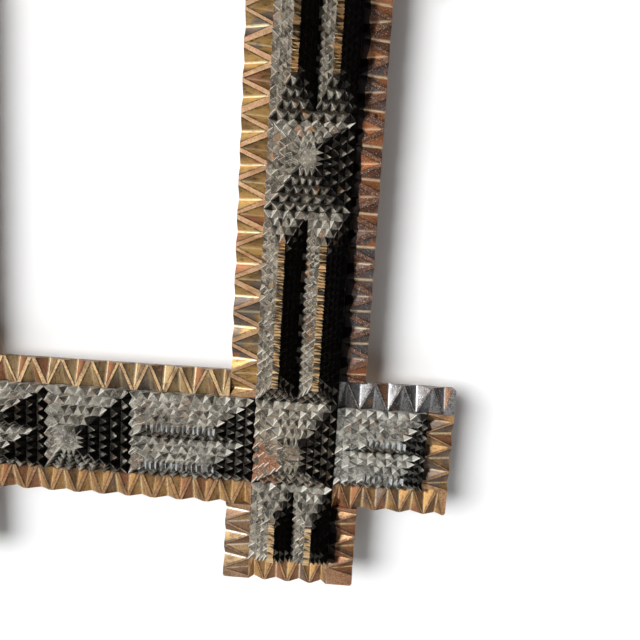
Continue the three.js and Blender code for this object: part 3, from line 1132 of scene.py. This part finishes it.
    def dressed(self, pattern: bpy.types.Object, name: str, u: float, v: float, quarters: int = 0,
                warm: float = 0.0, worn: float = 0.0, block: bool = False) -> None:
        """Copies a pattern, carves it by hand, settles it and lets it stand for its solid.

        Args:
            pattern: The piece on the bench.
            name: The solid's name.
            u: How far right its middle goes.
            v: How far up its middle goes.
            quarters: Quarter turns on the bench.
            warm: How brown its grey is, from 0 to 1.
            worn: How far copper paint shows through on its level tops, from 0 to 1.
            block: Whether it is a crossing's block, with rust on its left slope and no painted shade on the
                right-looking facets of the slope below.
        """
        piece = copied(pattern, "carved_" + name)
        roughen(piece, self.dice, self.hand)
        self.soften(piece)
        mark_lay(piece, self.dice)
        rusty = [block and v.co.x < self.rust_left_of and v.co.y < self.rust_below for v in piece.data.vertices]
        mark(piece, "rust", "POINT", rusty)
        facet = [self.dice.random() for _ in piece.data.polygons]
        piece.data.update()
        kept = piece.data.attributes
        sides, beyond = ([round(entry.value) for entry in kept[key].data] for key in ("side", "beyond"))
        crest = [entry.value for entry in kept["crest"].data]
        sloping = [Slope.RIGHT <= side <= Slope.DOWN for side in sides]
        level = [side == Slope.LEVEL for side in sides]
        slopes = [(side + quarters) % 4 if leans else side for side, leans in zip(sides, sloping)]
        # facets beside a hip take the painted shade of the slope beyond it, where that one faces right in the frame
        to_right = 1 + (-quarters) % 4
        slopes = [Slope.RIGHT if leans and other == to_right else slope
                  for slope, leans, other in zip(slopes, sloping, beyond)]
        quarter = Matrix.Rotation(math.radians(90 * quarters), 3, "Z")
        rightward = [(quarter @ face.normal).x > self.facing_from for face in piece.data.polygons]
        shade = dict(self.shade)
        lying = quarters % 2 == 1
        if block:
            shade[Slope.DOWN, True] = 0.0
        if lying:
            shade[Slope.LEE, False] = 0.0
        traits = {
            "warm": [warm] * len(facet),
            "facet": facet,
            # painted shade, near black, by each facet's slope and by whether it looks to the right
            "painted_shade": [shade.get(key, 0.0) for key in zip(slopes, rightward)],
            # painted highlight along the upper arrises of right-looking facets on down-facing slopes
            "painted_edge_highlight": [slope == Slope.DOWN and right for slope, right in zip(slopes, rightward)],
            # up-facing slopes get pale dust that is partly a painted top light
            "dust": [slope == Slope.UP for slope in slopes],
            "level": level,
            "worn": [worn * flat for flat in level],
            "frost": [top * lying for top in crest],
            "crest": [top * (not lying) for top in crest],
        }
        for trait, values in traits.items():
            mark(piece, trait, "FACE", values)
        settle(piece, self.plan.stand(u, v, 90 * quarters))
        take_over(piece, name, "frame", self.material)

    def build(self) -> None:
        """Models each kind of field once, and sets copies all over the frame."""
        plan = self.plan
        self.material = self.paint.make()
        stile = self.limb("stile_pattern", plan.stile_field, plan.rail_v - plan.rail_field, *self.stile_cuts)
        rail = self.limb("rail_pattern", plan.rail_field, plan.stile_u - plan.stile_field, *self.rail_cuts)
        crossing_u, crossing_v = plan.stile_field - plan.seam, plan.rail_field - plan.seam
        stack = [self.plinth(crossing_u, crossing_v), *self.block(crossing_u, crossing_v)]
        crossing = joined(stack, "crossing_pattern")
        side_from = plan.stile_u + plan.stile_field
        side_length = plan.side_ear_end - plan.border_width - side_from
        up_from = plan.rail_v + plan.rail_field
        up_length = plan.upright_ear_end - plan.border_width - up_from
        ears = {}
        sizes = (("side", plan.ear_field, side_length), ("upright", plan.stile_field, up_length))
        for (name, half, length), cut in zip(sizes, self.ear_cuts):
            half_u, half_v = half - plan.seam, (length - plan.seam) / 2
            layers = self.ridge_pair(half_u, half_v, cut)
            ears[name] = joined([self.plinth(half_u, half_v), *layers], name + "_ear_pattern")
        for name, side in (("left", -1), ("right", 1)):
            self.dressed(stile, "field_" + name, side * plan.stile_u, 0, warm=0.8, worn=1.0)
        for name, side in (("bottom", -1), ("top", 1)):
            self.dressed(rail, "field_" + name, 0, side * plan.rail_v, 1, warm=0.35)
        for v_name, v_side in (("bottom", -1), ("top", 1)):
            for u_name, u_side in (("left", -1), ("right", 1)):
                corner = f"{v_name}_{u_name}"
                u, v = u_side * plan.stile_u, v_side * plan.rail_v
                self.dressed(crossing, "crossing_" + corner, u, v, warm=1.0, block=True)
                side_u = u_side * (side_from + side_length / 2)
                self.dressed(ears["side"], "side_ear_" + corner, side_u, v, 1)
                up_v = v_side * (up_from + up_length / 2)
                self.dressed(ears["upright"], "upright_ear_" + corner, u, up_v, warm=0.6)
        for pattern in (stile, rail, crossing, *ears.values()):
            bpy.data.objects.remove(pattern)


@dataclass(frozen=True)
class StripSpec:
    """One border strip: where it lies on the plan, how it is painted, and which end is a free corner.

    free is 1 where the corner is at the bench's right end, -1 at its left end and 0 without one; plain is how much
    of that end stays uncarved, and band how wide the flat bands between the hollows are.
    """

    name: str
    facing: Facing
    edge: float
    start: float
    end: float
    spacing: float
    paint: str
    free: int
    plain: float
    band: float


@dataclass
class BorderStrips:
    """Carved strips along both edges of every limb and round the ears."""

    plan: Plan
    dice: random.Random
    hollow_depth: float = 3.2 * MM
    depth_range: tuple[float, float] = (0.85, 1.08)
    band_range: tuple[float, float] = (0.8, 1.2)
    wander: float = 0.04
    end_stop: float = 0.15 * MM
    end_round: float = 1.4 * MM
    level_from: float = 0.995
    facing_from: float = 0.2
    top_margin: float = 0.05 * MM
    valley_reach: float = 0.3 * MM
    merged_within: float = 0.01 * MM
    # strength of the painted highlight along a valley, for hollows opening at the outer edge and at the inner one
    outer_pale: tuple[float, float] = (0.75, 1.0)
    inner_pale: tuple[float, float] = (0.15, 0.6)
    paints: tuple[BronzedStrip, ...] = (
        BronzedStrip("gold_ochre", (0.62, 0.37, 0.12), (0.29, 0.165, 0.06), (0.58, 0.37, 0.21), (0.98, 0.84, 0.55),
                     film_share=0.05, spots=(0.45, 0.17, 0.09)),
        BronzedStrip("copper_brown", (0.2, 0.08, 0.045), (0.065, 0.036, 0.028), (0.17, 0.09, 0.065),
                     (1.0, 0.78, 0.5), film=(0.16, 0.155, 0.165), film_share=0.95, speckle=0.7,
                     spots=(0.5, 0.22, 0.08), spot_share=0.2, accent=(0.55, 0.19, 0.065), accent_share=0.3),
        BronzedStrip("bronze_brown", (0.48, 0.26, 0.12), (0.17, 0.095, 0.05), (0.48, 0.25, 0.13),
                     (0.98, 0.72, 0.38), film_share=0.5, speckle=0.3, accent=(0.45, 0.18, 0.08),
                     accent_share=0.2, grain=0.6),
        BronzedStrip("silvered", (0.29, 0.29, 0.3), (0.07, 0.07, 0.075), (0.42, 0.42, 0.42), (0.6, 0.6, 0.6),
                     film_share=0.45, speckle=0.7, spots=(0.1, 0.1, 0.1), spot_share=0.25,
                     accent=(0.5, 0.24, 0.12), accent_share=0.15, roughness=0.42, metallic=0.8, grain=0.6),
        BronzedStrip("brown_gold", (0.56, 0.38, 0.18), (0.2, 0.13, 0.07), (0.9, 0.62, 0.32), (0.98, 0.82, 0.55),
                     film_share=0.4, spots=(0.45, 0.2, 0.12), spot_share=0.2, grain=0.4),
        BronzedStrip("orange_gold", (0.6, 0.34, 0.12), (0.23, 0.125, 0.055), (0.62, 0.35, 0.17), (0.95, 0.75, 0.45),
                     film_share=0.35, accent_share=0.2, spots=(0.28, 0.14, 0.09), grain=0.6),
        BronzedStrip("pale_bronze", (0.5, 0.33, 0.155), (0.18, 0.11, 0.055), (0.46, 0.29, 0.17), (0.95, 0.9, 0.82),
                     film=(0.2, 0.18, 0.16), film_share=0.6, accent=(0.32, 0.18, 0.1), accent_share=0.15,
                     spots=(0.28, 0.14, 0.09), roughness=0.54, metallic=0.5, grain=0.7),
    )

    def strip(self, length: float, spec: StripSpec) -> bpy.types.Object:
        """Strip along +u with its outer edge on v = 0, carved with wedge hollows from its two edges in turn.

        Args:
            length: Its length.
            spec: Its name, the spacing of its hollows, its flat bands and its free end.

        Returns:
            The strip on the bench.
        """
        width, top = self.plan.border_width, self.plan.border_top
        stops = [self.end_stop if spec.free != end else spec.plain for end in (-1, 1)]
        start = spec.plain if spec.free < 0 else 0.0
        carved = length - spec.plain
        count = max(1, round(carved / spec.spacing))
        pitch = carved / count
        # a rung is a place along the strip and a height above its top, for its outer and for its inner edge
        rungs = [((0.0, 0.0), (0.0, 0.0))]
        for i in range(count):
            middle = start + (i + 0.5) * pitch + self.dice.uniform(-self.wander, self.wander) * pitch
            half = pitch - spec.band * self.dice.uniform(*self.band_range)
            deep = self.hollow_depth * self.dice.uniform(*self.depth_range)
            for step in (-1, 0, 1):
                mouth = min(max(middle + step * half, stops[0]), length - stops[1])
                rung = ((mouth, 0.0 if step else -deep), (middle, 0.0))
                rungs.append(rung if i % 2 == 0 else rung[::-1])
        rungs.append(((length, 0.0), (length, 0.0)))
        made = grid(len(rungs) - 1, 1)
        made.name = "carved_" + spec.name
        for vertex in made.data.vertices:
            far = vertex.co.y > 0
            along, drop = rungs[round((vertex.co.x + 1) / 2 * (len(rungs) - 1))][far]
            vertex.co = Vector((along, width * far, top + drop))
        with shaping(made):
            bpy.ops.mesh.remove_doubles(threshold=self.merged_within)
            pick_all()
            raise_up(-2 * top)
            squeeze((1, 1, 0), self.plan.board_top)
            turn_out()
            if spec.free:
                corner = length if spec.free > 0 else 0.0
                pick(made, Part.EDGES, lambda e: all(math.hypot(v.co.x - corner, v.co.y) < TINY for v in e.verts))
                ease_edges(self.end_round)
        self.note_hollows(made)
        return made

    def note_hollows(self, piece: bpy.types.Object) -> None:
        """Marks flat bands, and where a hollow's facets reach its valley line and its deepest point.

        Args:
            piece: A strip on the bench.
        """
        mesh = piece.data
        flat, valley, sunk, chance, pale = [], [], [], [], []
        for face in mesh.polygons:
            spots = [mesh.vertices[i].co for i in face.vertices]
            deepest = min(spots, key=lambda s: s.z)
            level = face.normal.z > self.level_from and deepest.z > self.plan.border_top - self.top_margin
            carved = face.normal.z > self.facing_from and not level
            flat.append(level)
            chance.append(self.dice.random())
            outer = deepest.y < self.plan.border_width / 2
            # how strong the painted highlight along this hollow's valley is
            pale.append(self.dice.uniform(*(self.outer_pale if outer else self.inner_pale)))
            valley += [carved and abs(spot.x - deepest.x) < self.valley_reach for spot in spots]
            sunk += [not carved or spot.z < deepest.z + TINY for spot in spots]
        for trait, values in (("flat", flat), ("chance", chance), ("pale", pale)):
            mark(piece, trait, "FACE", values)
        mark(piece, "valley", "CORNER", valley)
        mark(piece, "sunk", "CORNER", sunk)

    def specs(self) -> list[StripSpec]:
        """Lays out all strips of the frame on the plan.

        Returns:
            What each strip is like.
        """
        p = self.plan
        facings = {("u", -1): Facing.LEFT, ("u", 1): Facing.RIGHT, ("v", -1): Facing.DOWN, ("v", 1): Facing.UP}
        found: list[StripSpec] = []

        def add(name: str, way: str, side: int, edge: float, near: float, far: float,
                spacing: float, paint: str, plain: float = 0.0, band: float = 2.2) -> None:
            """Notes one strip. With an uncarved end, its far corner is a free one.

            Args:
                name: The name of the solid that it stands for.
                way: The axis, u or v, that its outer edge faces along.
                side: Whether it faces up that axis, 1, or down it, -1.
                edge: Where along that axis its outer edge lies.
                near: Where it starts along the other axis.
                far: Where it ends.
                spacing: From one hollow to the next, in millimetres.
                paint: Its finish.
                plain: How much of its free end stays uncarved, in millimetres.
                band: How wide its flat bands are, in millimetres.
            """
            facing = facings[way, side]
            low, high = sorted((near, far))
            free = 0
            if plain:
                free = 1 if (far == high) == (facing in (Facing.DOWN, Facing.RIGHT)) else -1
            found.append(StripSpec(name, facing, edge, low, high, spacing * MM, paint, free, plain * MM, band * MM))

        for name, side in (("left", -1), ("right", 1)):
            inner, outer = side * (p.stile_u - p.half_stile), side * (p.stile_u + p.half_stile)
            reach = p.rail_v - p.rail_field
            first, second = ("gold_ochre", "copper_brown")[::side]
            add(f"border_{name}_sight", "u", -side, inner, -reach, reach, 8.0, first)
            reach = p.rail_v - p.half_ear
            add(f"border_{name}_outer", "u", side, outer, -reach, reach, 8.0, second)
        for name, side in (("bottom", -1), ("top", 1)):
            inner, outer = side * (p.rail_v - p.half_rail), side * (p.rail_v + p.half_rail)
            reach = p.stile_u - p.half_stile
            add(f"border_{name}_sight", "v", -side, inner, -reach, reach, 7.75, "brown_gold", band=1.6)
            reach = p.stile_u - p.stile_field
            add(f"border_{name}_outer", "v", side, outer, -reach, reach, 7.0, "orange_gold", band=1.3)
            for u_name, u_side in (("left", -1), ("right", 1)):
                corner = f"{name}_{u_name}"
                u, v = u_side * p.stile_u, side * p.rail_v
                near, far = u_side * (p.stile_u + p.stile_field), u_side * p.side_ear_end
                ear = "side_ear_" + corner
                add(ear + "_outer", "v", side, v + side * p.half_ear, near, far, 6.5, "orange_gold", 1.6, 0.6)
                add(ear + "_sight", "v", -side, v - side * p.half_ear, near, far, 7.0, "silvered", 1.6, 0.6)
                near, end = v - p.ear_field, v + p.ear_field
                add(ear + "_end", "u", u_side, far, near, end, 6.8, "orange_gold", band=0.7)
                ear = "upright_ear_" + corner
                inner, outer = u - u_side * p.half_stile, u + u_side * p.half_stile
                far = side * p.upright_ear_end
                near = side * (p.rail_v + p.half_ear)
                add(ear + "_outer", "u", u_side, outer, near, far, 6.2, "bronze_brown", 6.0, 0.8)
                near = side * (p.rail_v + p.half_rail)
                add(ear + "_sight", "u", -u_side, inner, near, far, 6.2, "pale_bronze", 1.6, 0.7)
                near, end = u - p.stile_field, u + p.stile_field
                add(ear + "_end", "v", side, far, near, end, 6.0, "orange_gold", band=0.8)
        return found

    def build(self) -> None:
        """Carves, places and paints every strip."""
        materials = {paint.name: paint.make() for paint in self.paints}
        width = self.plan.border_width
        for spec in self.specs():
            start, end = spec.start + self.plan.seam / 2, spec.end - self.plan.seam / 2
            piece = self.strip(end - start, spec)
            mark_lay(piece, self.dice)
            # painted shadow: strips that stand right of a field get a near-black band along their inner edge
            takes_painted_shadow = spec.facing is Facing.RIGHT and not spec.name.endswith("_end")
            # the painted shadow ends a strip's width before a free corner, and without one it runs all the way
            corner = {1: end - start, 0: -2 * width, -1: 0.0}[spec.free]
            mark(piece, "inner", "POINT", [takes_painted_shadow * v.co.y / width for v in piece.data.vertices])
            mark(piece, "beside", "POINT", [abs(v.co.x - corner) / width for v in piece.data.vertices])
            spots = {Facing.DOWN: (start, spec.edge), Facing.RIGHT: (spec.edge, start),
                     Facing.UP: (end, spec.edge), Facing.LEFT: (spec.edge, end)}
            settle(piece, self.plan.stand(*spots[spec.facing], 90 * spec.facing.value))
            take_over(piece, spec.name, "frame", materials[spec.paint])


@dataclass
class Boards:
    """The four half-lapped boards, which keep their solids' shapes."""

    upright: OldSoftwood = field(default_factory=lambda: OldSoftwood("softwood_upright", 2))
    level: OldSoftwood = field(default_factory=lambda: OldSoftwood("softwood_level", 0))

    def build(self, nodes: dict[str, bpy.types.Object]) -> None:
        """Gives the boards their wood.

        Args:
            nodes: The frame's solids by name.
        """
        sets = ((self.upright, ("stile_left", "stile_right")), (self.level, ("rail_bottom", "rail_top")))
        for finish, names in sets:
            material = finish.make()
            for name in names:
                nodes[name].material_slots[0].material = material
                LOG.info("%s keeps its solid, in %s", name, finish.name)


@dataclass
class Hardware:
    """Turn buttons with their screws, the screw eye and the hanging ring, all on the back."""

    plan: Plan
    button_u: float = 88 * MM
    button_half: float = 13.5 * MM
    button_round: float = 5.5 * MM
    button_back: float = 3.3 * MM
    button_front: float = 0.3 * MM
    button_edge: float = 0.55 * MM
    hole: float = 1.8 * MM
    head: float = 3.4 * MM
    head_low: float = 3.6 * MM
    dome: float = 1.8 * MM
    slot_width: float = 0.8 * MM
    slot_depth: float = 0.85 * MM
    slot_turn: float = 35.0
    slot_spread: float = 20.0
    button_sides: int = 56
    rooted: float = 0.3 * MM
    shank: float = 1.5 * MM
    tip: float = 7.7 * MM
    point_share: float = 0.8
    level_from: float = 0.9
    eye_v: float = 156 * MM
    eye_h: float = -5.3 * MM
    eye_loop: float = 2.7 * MM
    eye_wire: float = 1.1 * MM
    eye_gap: float = 0.3 * MM
    eye_gap_at: float = 28.0
    eye_steps: int = 64
    ring_v: float = 146.7 * MM
    ring_loop: float = 9 * MM
    ring_wire: float = 1 * MM
    ring_gap: float = 0.2 * MM
    ring_rim: float = 0.15 * MM
    ring_steps: int = 120
    wire_sides: int = 24
    smooth_below: float = 35.0
    finish: TarnishedBrass = field(default_factory=lambda: TarnishedBrass("tarnished_brass"))

    def cut(self, piece: bpy.types.Object, tool: bpy.types.Object, operation: str) -> None:
        """Cuts a tool out of a piece, or welds it on, and uses the tool up.

        Args:
            piece: The piece.
            tool: The other body.
            operation: DIFFERENCE or UNION.
        """
        choose(piece)
        step = piece.modifiers.new("step", "BOOLEAN")
        step.operation = operation
        step.object = tool
        bpy.ops.object.modifier_apply(modifier=step.name)
        bpy.data.objects.remove(tool)

    def rod(self, radius: float, low: float, high: float, sides: int = 40) -> bpy.types.Object:
        """Round bar along h, turned by half a side so that no corner lies on an axis.

        Args:
            radius: Its radius.
            low: Where it starts along h.
            high: Where it ends.
            sides: How many sides it has.

        Returns:
            The bar.
        """
        bpy.ops.mesh.primitive_cylinder_add(vertices=sides, radius=radius, depth=high - low)
        bar = bpy.context.active_object
        settle(bar, Matrix.Translation((0, 0, (low + high) / 2)) @ Matrix.Rotation(math.pi / sides, 4, "Z"))
        return bar

    def pointed(self, radius: float, low: float) -> bpy.types.Object:
        """Screw shank from a height up to its pointed tip in the wood.

        Args:
            radius: Its radius.
            low: Where it starts along h.

        Returns:
            The shank.
        """
        bar = self.rod(radius, low, self.tip)
        with shaping(bar):
            pick(bar, Part.FACES, lambda f: f.normal.z > self.level_from)
            bpy.ops.mesh.inset(thickness=radius * self.point_share)
            pick(bar, Part.VERTS, lambda v: v.co.z > self.tip - TINY and math.hypot(*v.co.xy) > radius / 2)
            shift((0, 0, -radius))
        return bar

    def button(self) -> bpy.types.Object:
        """Models the turn button, with round ends, eased edges and a hole for its screw.

        Returns:
            The button, with the screw's axis at the origin.
        """
        plate = self.rod(self.button_round, -self.button_back, -self.button_front, self.button_sides)
        with shaping(plate):
            for side in (-1, 1):
                pick(plate, Part.VERTS, lambda v: v.co.y * side > TINY)
                shift((0, side * (self.button_half - self.button_round), 0))
            pick(plate, Part.EDGES, lambda e: not standing(e))
            ease_edges(self.button_edge)
        self.cut(plate, self.rod(self.hole, -2 * self.button_back, self.button_back), "DIFFERENCE")
        return plate

    def screw(self) -> bpy.types.Object:
        """Models the dome screw, with a slot and a pointed shank.

        Returns:
            The screw, with its axis at the origin.
        """
        bpy.ops.mesh.primitive_uv_sphere_add(segments=48, ring_count=24, radius=self.head)
        dome = bpy.context.active_object
        with shaping(dome):
            pick(dome, Part.VERTS, lambda v: v.co.z > TINY)
            bpy.ops.mesh.delete(type="VERT")
            pick_all()
            squeeze((1, 1, self.dome / self.head))
            shift((0, 0, -self.head_low))
            pick(dome, Part.EDGES, lambda e: e.is_boundary)
            bpy.ops.mesh.edge_face_add()
            turn_out()
        self.cut(dome, self.pointed(self.shank, -self.head_low - self.rooted), "UNION")
        size = (self.slot_width, 3 * self.head, 2 * self.slot_depth)
        self.cut(dome, cuboid(size, (0, 0, -self.head_low - self.dome)), "DIFFERENCE")
        return dome

    def wire_loop(self, loop: float, wire: float, steps: int) -> bpy.types.Object:
        """Round loop of wire, lying flat.

        Args:
            loop: The radius of its middle line.
            wire: The wire's radius.
            steps: How many steps it has all round.

        Returns:
            The loop.
        """
        bpy.ops.mesh.primitive_torus_add(
            major_radius=loop, minor_radius=wire, major_segments=steps, minor_segments=self.wire_sides)
        return bpy.context.active_object

    def eye(self) -> bpy.types.Object:
        """Models the screw eye: a loop on edge, with a fine gap beside the shank that it is bent from.

        Returns:
            The screw eye, with its shank's axis at the origin.
        """
        loop = self.wire_loop(self.eye_loop, self.eye_wire, self.eye_steps)
        middle = Matrix.Translation((0, 0, self.eye_h))
        settle(loop, middle @ Matrix.Rotation(math.radians(90), 4, "Y"))
        gap = cuboid((4 * self.eye_wire, self.eye_gap, 2.2 * self.eye_wire), (0, 0, self.eye_loop))
        settle(gap, middle @ Matrix.Rotation(math.radians(self.eye_gap_at), 4, "X"))
        self.cut(loop, gap, "DIFFERENCE")
        self.cut(loop, self.pointed(self.eye_wire, self.eye_h + self.eye_loop), "UNION")
        return loop

    def ring(self) -> bpy.types.Object:
        """Models the hanging ring of bent wire, with a fine gap where its ends meet.

        Returns:
            The ring, lying round the origin.
        """
        hoop = self.wire_loop(self.ring_loop, self.ring_wire, self.ring_steps)

        def at_gap(face: bmesh.types.BMFace) -> bool:
            """Whether a face is in the way of the gap."""
            middle = face.calc_center_median()
            return middle.x > 0 and abs(middle.y) < self.ring_gap

        with shaping(hoop):
            pick(hoop, Part.FACES, at_gap)
            bpy.ops.mesh.delete(type="FACE")
            pick(hoop, Part.EDGES, lambda e: e.is_boundary)
            bpy.ops.mesh.fill_holes(sides=0)
            pick(hoop, Part.FACES, lambda f: len(f.verts) > 4)
            bpy.ops.mesh.inset(thickness=self.ring_rim)
            turn_out()
        return hoop

    def build(self) -> None:
        """Models each kind of piece once and puts copies of it in place."""
        brass = self.finish.make()
        button, screw, eye, ring = self.button(), self.screw(), self.eye(), self.ring()
        pieces = []
        for name, side in (("left", -1), ("right", 1)):
            u = side * self.button_u
            node = "turn_button_" + name
            pieces.append((button, node, node, self.plan.stand(u, 0.0, 0.0)))
            turn = self.slot_turn + side * self.slot_spread
            pieces.append((screw, "button_screw_" + name, "frame", self.plan.stand(u, 0.0, turn)))
        pieces.append((eye, "screw_eye", "frame", self.plan.stand(0.0, self.eye_v, 0.0)))
        hung = self.plan.stand(0.0, self.ring_v, 0.0) @ Matrix.Translation((0, 0, self.eye_h))
        pieces.append((ring, "hanging_ring", "hanging_ring", hung))
        for pattern, node, body, place in pieces:
            piece = copied(pattern, "shaped_" + node)
            settle(piece, place)
            choose(piece)
            bpy.ops.object.shade_smooth_by_angle(angle=math.radians(self.smooth_below))
            take_over(piece, node, body, brass)
        for pattern in (button, screw, eye, ring):
            bpy.data.objects.remove(pattern)


@dataclass
class Studio:
    """Camera, lamps, wall, floor and sky.

    eye is where the camera stands, and right, up and back are its axes. Leans, drops and widths of lamps are in
    degrees.
    """

    wall_y: float = 9.6 * MM
    floor_z: float = -0.52
    reach: float = 3.0
    clip_start: float = 0.01
    focal_px: float = 450.93
    image_px: float = 640.0
    sensor: float = 36.0
    eye: tuple[float, float, float] = (0.12452, -0.24217, -0.19045)
    right: tuple[float, float, float] = (0.99766, 0.03287, 0.05993)
    up: tuple[float, float, float] = (-0.06306, 0.10423, 0.99255)
    back: tuple[float, float, float] = (0.02638, -0.99401, 0.10606)
    key_lean: float = 45.0
    key_drop: float = 34.0
    key_strength: float = 3.8
    key_width: float = 3.5
    wall_lean: float = 48.5
    wall_drop: float = 17.0
    wall_strength: float = 4.8
    wall_width: float = 39.0
    fill_strength: float = 0.7
    fill_width: float = 50.0
    fill_towards: tuple[float, float, float] = (0.15, 0.75, 0.66)
    back_strength: float = 2.6
    back_width: float = 40.0
    back_towards: tuple[float, float, float] = (-0.2, -0.93, -0.3)
    sky: float = 0.04
    sheets: list[bpy.types.Object] = field(default_factory=list)

    def camera(self) -> None:
        """The photograph's viewpoint."""
        data = bpy.data.cameras.new("viewpoint")
        data.sensor_width = self.sensor
        data.lens = self.sensor * self.focal_px / self.image_px
        data.clip_start = self.clip_start
        obj = bpy.data.objects.new("viewpoint", data)
        bpy.context.scene.collection.objects.link(obj)
        axes = Matrix((self.right, self.up, self.back)).transposed().to_4x4()
        obj.matrix_world = Matrix.Translation(self.eye) @ axes
        bpy.context.scene.camera = obj

    def sun(self, name: str, towards: Vector, strength: float, angle: float) -> bpy.types.Object:
        """Adds a lamp that shines along a direction.

        Args:
            name: The lamp's name.
            towards: Where its light goes.
            strength: Its strength.
            angle: Its width in the sky, in degrees.

        Returns:
            The lamp.
        """
        data = bpy.data.lights.new(name, "SUN")
        data.energy = strength
        data.angle = math.radians(angle)
        obj = bpy.data.objects.new(name, data)
        obj.rotation_mode = "QUATERNION"
        obj.rotation_quaternion = towards.to_track_quat("-Z", "Y")
        bpy.context.scene.collection.objects.link(obj)
        return obj

    def lamps(self) -> None:
        """Key from the left and above, a soft twin of it for the wall, a weak fill and a soft lamp from behind."""
        lamps = (("key_lamp", self.key_lean, self.key_drop, self.key_strength, self.key_width, "EXCLUDE"),
                 ("wall_lamp", self.wall_lean, self.wall_drop, self.wall_strength, self.wall_width, "INCLUDE"))
        for name, lean, drop, strength, width, state in lamps:
            flat = math.cos(math.radians(lean))
            fall = math.radians(drop)
            towards = Vector((flat * math.cos(fall), math.sin(math.radians(lean)), -flat * math.sin(fall)))
            lamp = self.sun(name, towards, strength, width)
            lit = bpy.data.collections.new(name + "_stage")
            for obj in self.sheets:
                lit.objects.link(obj)
            lamp.light_linking.receiver_collection = lit
            for linked in lit.collection_objects:
                linked.light_linking.link_state = state
        self.sun("fill_lamp", Vector(self.fill_towards), self.fill_strength, self.fill_width)
        self.sun("back_lamp", Vector(self.back_towards), self.back_strength, self.back_width)

    def world(self) -> None:
        """Dim sky that the camera sees as bright."""
        b = Bench(bpy.data.worlds.new("studio"))
        bpy.context.scene.world = b.owner
        path = b.node("ShaderNodeLightPath")
        seen = b.maths("MAXIMUM", b.out(path, "Is Camera Ray"), b.out(path, "Is Transmission Ray"))
        strength = b.out(b.node("ShaderNodeMapRange", None, {0: seen, 3: self.sky, 4: 1.0}))
        glow = b.out(b.node("ShaderNodeBackground", None, {"Strength": strength}))
        b.node("ShaderNodeOutputWorld", None, {"Surface": glow})

    def sheet(self, name: str, place: Matrix, finish: Limewash) -> None:
        """Adds a large flat stage surface.

        Args:
            name: Its name.
            place: Where it goes.
            finish: Its paint.
        """
        bpy.ops.mesh.primitive_plane_add(size=2 * self.reach)
        sheet = bpy.context.active_object
        sheet.name = name
        settle(sheet, place)
        sheet.data.materials.append(finish.make())
        sheet.visible_diffuse = False
        self.sheets.append(sheet)

    def build(self) -> None:
        """Sets up everything round the frame."""
        self.camera()
        self.world()
        upright = Matrix.Translation((0, self.wall_y, 0)) @ Matrix.Rotation(math.radians(90), 4, "X")
        self.sheet("wall", upright, Limewash("wall_white", one_sided=True))
        level = Matrix.Translation((0, self.wall_y - self.reach, self.floor_z))
        self.sheet("floor", level, Limewash("floor_white"))
        self.lamps()
        bpy.context.scene.view_settings.view_transform = "Standard"


def main() -> None:
    """Builds the dressed frame."""
    logging.basicConfig(level=logging.INFO, format="%(message)s")
    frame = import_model()
    Studio().build()
    plan = Plan()
    NotchedFields(plan, random.Random(FIELD_SEED)).build()
    BorderStrips(plan, random.Random(STRIP_SEED)).build()
    Boards().build(frame["nodes"])
    Hardware(plan).build()


if __name__ == "__main__":
    main()
